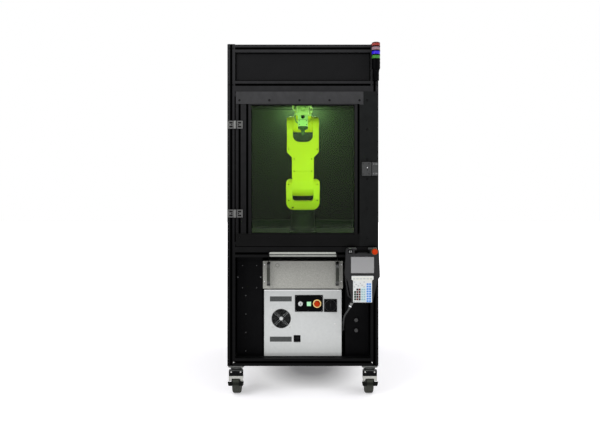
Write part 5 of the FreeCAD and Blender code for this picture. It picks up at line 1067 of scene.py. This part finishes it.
for x, z, r in connectors:
    plug = [(r + 2.5, 0), (r + 2.5, 3), (r, 4), (r, 12), (r - 1.2, 13), (0, 13)]
    parts.append((add_lathe, plug, (x, BASE_BACK, z), BACKWARD, 28))
shaped("base_connectors", "black_plastic", "cabinet", *parts, angle=40)
places = [(x, BASE_BACK, z) for z in (930, 1009) for x in (-44, 44)]
screws("base_cover_screws", "screw_steel", "cabinet", places, BACKWARD, 3.4)
plug = [(0, 0.4), (5.5, 0.4), (6.4, 0.9), (7.2, 0.3), (7.4, -0.6)]
turned("turret_plug", "black_plastic", "turret", [on_front("robot_turret", -68, 1090)], OUT, plug, 28, 40)

# forearm: motor cover seams, rear cap, wrist seams
seam = [(49.9, -1.6), (50.6, -1.1), (50.6, 1.1), (49.9, 1.6)]
places = [(0, y, FOREARM_Z) for y in (-92.0, -22.0, 62.0)]
turned("elbow_seams", "robot_dark", "elbow", places, BACKWARD, seam, 64)
places = circle_places((0, MOTOR_BACK, FOREARM_Z), 31, 6, "y", 30)
screws("elbow_rear_screws", "screw_black", "elbow", places, BACKWARD, 3.4)
cap = [(0, 5.0), (9, 4.8), (16, 3.0), (19, 0)]
turned("elbow_rear_cap", "robot_yellow", "elbow", [(0, MOTOR_BACK, FOREARM_Z)], BACKWARD, cap, 40)
seam = [(46.8, -3), (47.8, -2.4), (47.8, 2.4), (46.8, 3)]
turned("forearm_seam", "robot_dark", "forearm", [(0, -140, FOREARM_Z)], BACKWARD, seam, 64)
shaped(
    "wrist_seams", "robot_dark", "wrist",
    (add_lathe, [(0, 2.0), (12, 1.9), (18, 1.2), (20, 0)], (0, WRIST_Y, 1717.1), UP, 36),
    (add_lathe, [(29.0, 1616), (30.0, 1616.5), (30.0, 1619.5), (29.0, 1620)], (0, WRIST_Y, 0), UP, 56),
)

# tool: bracket bolts, head seams, cowl, knobs, fittings with hose loops
HEAD_FRONT, HEAD_Y = -487, -457
screws("bracket_bolts", "screw_steel", "tool", circle_places((0, WRIST_Y, 1588.3), 20, 4, "z", 45), -UP, 3.2)
shaped("head_seams", "black_plastic", "tool", *[
    (add_frame, -30.4, 30.4, -487.4, -426.8, 1.2, "z", z - 0.9, z + 0.9, 0.2)
    for z in (1640.0, 1668.0, 1699.5)
], angle=40)
shaped(
    "head_screws", "screw_black", "tool",
    *[(add_screw, (x, HEAD_FRONT, z), OUT, 2.8) for x in (-22, 22) for z in (1609, 1632, 1676, 1693)],
    (add_lathe, [(0, 0.8), (8.5, 0.8), (9.5, 1.6), (11.5, 1.6), (12.2, 0)], (0, HEAD_FRONT, 1656), OUT, 36),
    angle=40,
)
wide = [((7.5,), 0), ((7.5,), 7), (6.0, 8), (5.0, 9.5), (5.0, 11)]
slim = [((6.0,), 0), ((6.0,), 3), (4.8, 3.8), (4.4, 5)]
band = [(9.2, -0.5), (10.4, 0), (10.4, 4.0), (9.2, 4.6)]
parts = []
for side in (-1, 1):
    parts += [
        (add_lathe, wide, (side * 45, HEAD_Y, 1719.0), UP, 30),
        (add_lathe, slim, (side * 20, HEAD_Y, 1736.3), UP, 30),
        (add_lathe, band, (side * 52, HEAD_Y, 1710.3), RIGHT, 30),
    ]
parts.append((add_lathe, [(16.1, 0), (17.6, 0.6), (17.6, 5.0), (16.1, 5.6)], (0, HEAD_Y, 1740.0), UP, 36))
shaped("head_fittings", "brass_fitting", "tool", *parts, angle=35)
shaped(
    "head_cowl", "head_silver", "tool", (add_box, -41, 41, -499, -421, 1664, 1729, 15, 5),
    (add_box, -27, 27, -494, -424, 1722, 1746, 11, 4), angle=60,
)
elbow_line = [
    (-38, -470, 1698), (-48, -470, 1698), (-54, -470, 1700.5), (-57.5, -470, 1706), (-58.5, -470, 1713),
    (-58.5, -470, 1724),
]
KNOBS = (
    ([(0, 3.0), (9, 3.0), (11, 5.0), (17, 5.0), (21, 3.4), (23, 0.5), (23, -3)], (0, -499, 1698), OUT, 44),
    ([(0, 14), (6.5, 13.4), (9.6, 10), (9.8, 2), (11, 0.5), (11, -6)], (41, -470, 1717), RIGHT, 32),
    ([(0, 18), (7.5, 17.2), (11.0, 13), (11.2, 4), (12.4, 2), (12.4, -6)], (40, -472, 1690), RIGHT, 32),
    ([(0, 12), (5.5, 11.4), (8.4, 8), (8.4, -6)], (41, -474, 1668), RIGHT, 32),
    ([(0, 10), (6, 9.4), (8.6, 6), (8.6, -6)], (-41, -476, 1676), LEFT, 32),
)
shaped(
    "head_knobs", "head_silver", "tool", *[(add_lathe, *knob) for knob in KNOBS],
    (add_tube, elbow_line, [7.5, 7.5, 7.0, 6.6, 6.4, 6.4], 20),
    (add_lathe, [(8.4, 0), (8.4, 7), (7.0, 8.4), (0, 8.4)], (-58.5, -470, 1717), UP, 24), angle=45,
)


def hose(name, points, radius, look):
    """A short hose, fixed at both ends, that rides with the tool."""
    points = [tuple(v / 1000 for v in p) for p in points]
    line = bpy.data.meshes.new_from_object(nurbs(name + "_line", points))
    shaped(name, look, "tool", (add_tube, [v.co * 1000 for v in line.vertices], radius, 12), angle=60)


for side, word, look in ((-1, "left", "hose_white"), (1, "right", "hose_blue")):
    hose("head_hose_" + word, [
        (side * 45, -457, 1728), (side * 45, -459, 1740), (side * 41, -463, 1747), (side * 28, -465, 1747.5),
        (side * 20, -462, 1747), (side * 20, -457, 1739),
    ], 3.6, look)
hose("head_hose_cross", [
    (-30.0, -470, 1684), (-42, -474, 1684), (-46, -476, 1672), (-44, -476, 1640), (-40, -474, 1622),
    (-29.5, -470, 1618),
], 3.0, "hose_blue")

# ---- casters: bolts, bearing ring, axle nuts, hub, tread grooves
CASTER_X, CASTER_Y = 393.5, 547.5
WHEEL_TRAIL, AXLE_Z = 38, 64.0
bolt = [((6.5,), 0), ((6.5,), 4.5), (5.5, 5.5), (0, 5.5)]
nut = [((8.5,), 0), ((8.5,), 3.6), (7.4, 4.4), (0, 4.4)]
hub = [(17, 0.2), (19, 1.4), (24, 0.6), (33, 0.6), (38, 2.6), (44.6, 3.2), (44.9, 0)]
groove = [(64.0, -1.6), (64.35, -1.2), (64.35, 1.2), (64.0, 1.6)]
brake_bolt = [(0, 1.9), ((2.2,), 1.9), ((2.2,), 3.4), (4.2, 3.4), (4.9, 2.4), (5.1, 0)]
plate_bolts = []
for corner in CORNERS:
    end, word = corner.split("_")
    x = CASTER_X if word == "right" else -CASTER_X
    y = CASTER_Y if end == "rear" else -CASTER_Y
    places = [(x + dx, y + dy, 175.5) for dx in (-36, 36) for dy in (-38, 38)]
    plate_bolts += [(add_lathe, bolt, at, -UP, 18) for at in places]
    fork = "caster_" + corner
    shaped(
        "bearing_ring_" + corner, "zinc", fork,
        (add_lathe, [(43.0, 165.0), (44.2, 165.8), (44.2, 168.2), (43.0, 169.0)], (x, y, 0), UP, 60),
        (add_lathe, [(31.2, 151.6), (33.6, 152.0), (35.0, 154.5), (33.5, 155.5)], (x, y, 0), UP, 60),
    )
    axle = y + WHEEL_TRAIL
    shaped("axle_nuts_" + corner, "screw_steel", fork, *[
        (add_lathe, nut, (x + side * 31.2, axle, AXLE_Z), (side, 0, 0), 18) for side in (-1, 1)
    ], angle=35)
    parts = []
    for side in (-1, 1):
        parts.append((add_lathe, hub, (x + side * 19.0, axle, AXLE_Z), (side, 0, 0), 48))
        for i in range(6):
            a = math.radians(60 * i)
            spoke = [
                (x + side * out, axle + r * math.cos(a), AXLE_Z + r * math.sin(a))
                for out, r in ((19.6, 20), (20.6, 38))
            ]
            parts.append((add_tube, spoke, 1.9, 8))
    shaped("wheel_hub_" + corner, "hub_grey", "wheel_" + corner, *parts, angle=40)
    places = [(x + dx, axle, AXLE_Z) for dx in (-11, 0, 11)]
    turned("wheel_tread_" + corner, "tread_band", "wheel_" + corner, places, RIGHT, groove, 72)
    if end == "front":
        places = [(x + dx, -589.5, 146) for dx in (-27.5, 27.5)]
        turned("brake_bolts_" + word, "screw_steel", fork, places, OUT, brake_bolt, 24, 40)
        shaped(
            "brake_badge_" + word, "black_gloss", fork,
            (add_prism, rounded(x - 15, x + 15, 127, 152, 4), "y", -590.6, -589.4, 0.4),
            *[(add_box, x - 11, x + 11, -591.2, -590.4, 131 + i * 5, 133 + i * 5, 0.3) for i in range(4)],
            angle=40,
        )
        levels = [72.5 + i * 4.4 for i in range(4)]
        shaped("pedal_ribs_" + word, "rubber_black", "brake_" + word, *[
            (add_prism, rounded(x - 38, x + 38, z, z + 2.0, 0.9), "y", -602.3, -601.4, 0.2) for z in levels
        ])
shaped("caster_plate_bolts", "screw_steel", "cabinet", *plate_bolts, angle=35)

# ---- lights, floor and backdrop
def area_light(name, place, target, size, power, colour=(1, 1, 1), size_y=None):
    data = bpy.data.lights.new(name, "AREA")
    data.energy = power
    data.color = colour
    data.shape = "RECTANGLE"
    data.size = size
    data.size_y = size_y or size
    made = bpy.data.objects.new(name, data)
    scene.collection.objects.link(made)
    made.location = place
    made.rotation_euler = (Vector(target) - Vector(place)).to_track_quat("-Z", "Y").to_euler()
    return made


area_light("key_soft", (-2.6, -3.4, 3.6), (0, 0, 1.0), 2.4, 95)
area_light("fill_right", (3.4, -2.4, 2.4), (0, 0, 1.0), 2.6, 45)
area_light("top_soft", (0.2, 0.3, 4.2), (0, 0, 1.0), 2.6, 60)
area_light("front_low", (0, -3.3, 0.3), (0, -0.5, 0.4), 2.2, 18, size_y=0.4)
for name, x in (("chamber_fill_0", -0.355), ("chamber_fill_2", 0.355)):
    strip = area_light(name, (x, -0.50, 1.42), (0, -0.05, 1.38), 0.08, 1.4, (0.95, 1.0, 0.92), 0.6)
    strip.visible_camera = False
GREEN = (0.66, 1.0, 0.56)
wall_glow = area_light("chamber_wall_glow", (0, 0.40, 1.812), (0, 0.6, 1.80), 0.24, 3.3, GREEN, 0.03)
wall_glow.visible_camera = False


def seen(tree):
    """1 where the camera looks straight at it, or in a reflection or through glass."""
    path = tree.nodes.new("ShaderNodeLightPath")
    mirrored = math_node(tree, "MAXIMUM", path.outputs["Is Glossy Ray"], path.outputs["Is Transmission Ray"])
    return math_node(tree, "MAXIMUM", path.outputs["Is Camera Ray"], mirrored)


bm = bmesh.new()
bmesh.ops.create_grid(bm, x_segments=2, y_segments=2, size=14)
mesh = bpy.data.meshes.new("floor")
bm.to_mesh(mesh)
bm.free()
floor = bpy.data.objects.new("floor", mesh)
scene.collection.objects.link(floor)
floor_mat = bpy.data.materials.new("pale_floor")
floor_mat.use_nodes = True
tree = floor_mat.node_tree
paint = tree.nodes["Principled BSDF"]
paint.inputs["Base Color"].default_value = (0.80, 0.79, 0.82, 1)
paint.inputs["Roughness"].default_value = 0.85
paint.inputs["Specular IOR Level"].default_value = 0.1

# the floor's own glow, seen by the camera, is painted shade: dim near the object so its shadow shows, lighter
# round 0.33 m, dimmer again out to 1 m, white by 5.5 m; grey by distance in metres
FLOOR_MIDDLE, FLOOR_SQUEEZE, FLOOR_REACH = (0.06, 0.0, 0.0), (0.92, 0.70, 1.0), 5.5
FLOOR_PAINTED_SHADE = (
    (0.10, 0.13), (0.18, 0.27), (0.27, 0.44), (0.33, 0.53), (0.43, 0.38), (0.60, 0.33), (1.0, 0.27),
    (FLOOR_REACH, 1.0),
)
glow = tree.nodes.new("ShaderNodeEmission")
shifted = vector_node(tree, "SUBTRACT", place_in(tree), FLOOR_MIDDLE)
squeezed = vector_node(tree, "MULTIPLY", shifted, FLOOR_SQUEEZE)
away = value_node(tree, "ShaderNodeVectorMath", squeezed, operation="LENGTH").outputs["Value"]
ramp = tree.nodes.new("ShaderNodeValToRGB")
link(tree, ranged(tree, away, 0.0, 1.0, 0.0, FLOOR_REACH), ramp.inputs[0])
while len(ramp.color_ramp.elements) < len(FLOOR_PAINTED_SHADE):
    ramp.color_ramp.elements.new(0.5)
for element, (reach, grey) in zip(ramp.color_ramp.elements, FLOOR_PAINTED_SHADE):
    element.position = reach / FLOOR_REACH
    element.color = (grey, grey, grey, 1)
link(tree, ramp.outputs[0], glow.inputs["Color"])
link(tree, seen(tree), glow.inputs["Strength"])
both = tree.nodes.new("ShaderNodeAddShader")
link(tree, paint.outputs[0], both.inputs[0])
link(tree, glow.outputs[0], both.inputs[1])
link(tree, both.outputs[0], tree.nodes["Material Output"].inputs["Surface"])
floor.data.materials.append(floor_mat)

world = bpy.data.worlds.new("studio")
scene.world = world
world.use_nodes = True
tree = world.node_tree
backdrop = tree.nodes["Background"]
backdrop.inputs["Color"].default_value = (1, 1, 1, 1)
link(tree, mixed_value(tree, seen(tree), 0.75, 1.0), backdrop.inputs["Strength"])
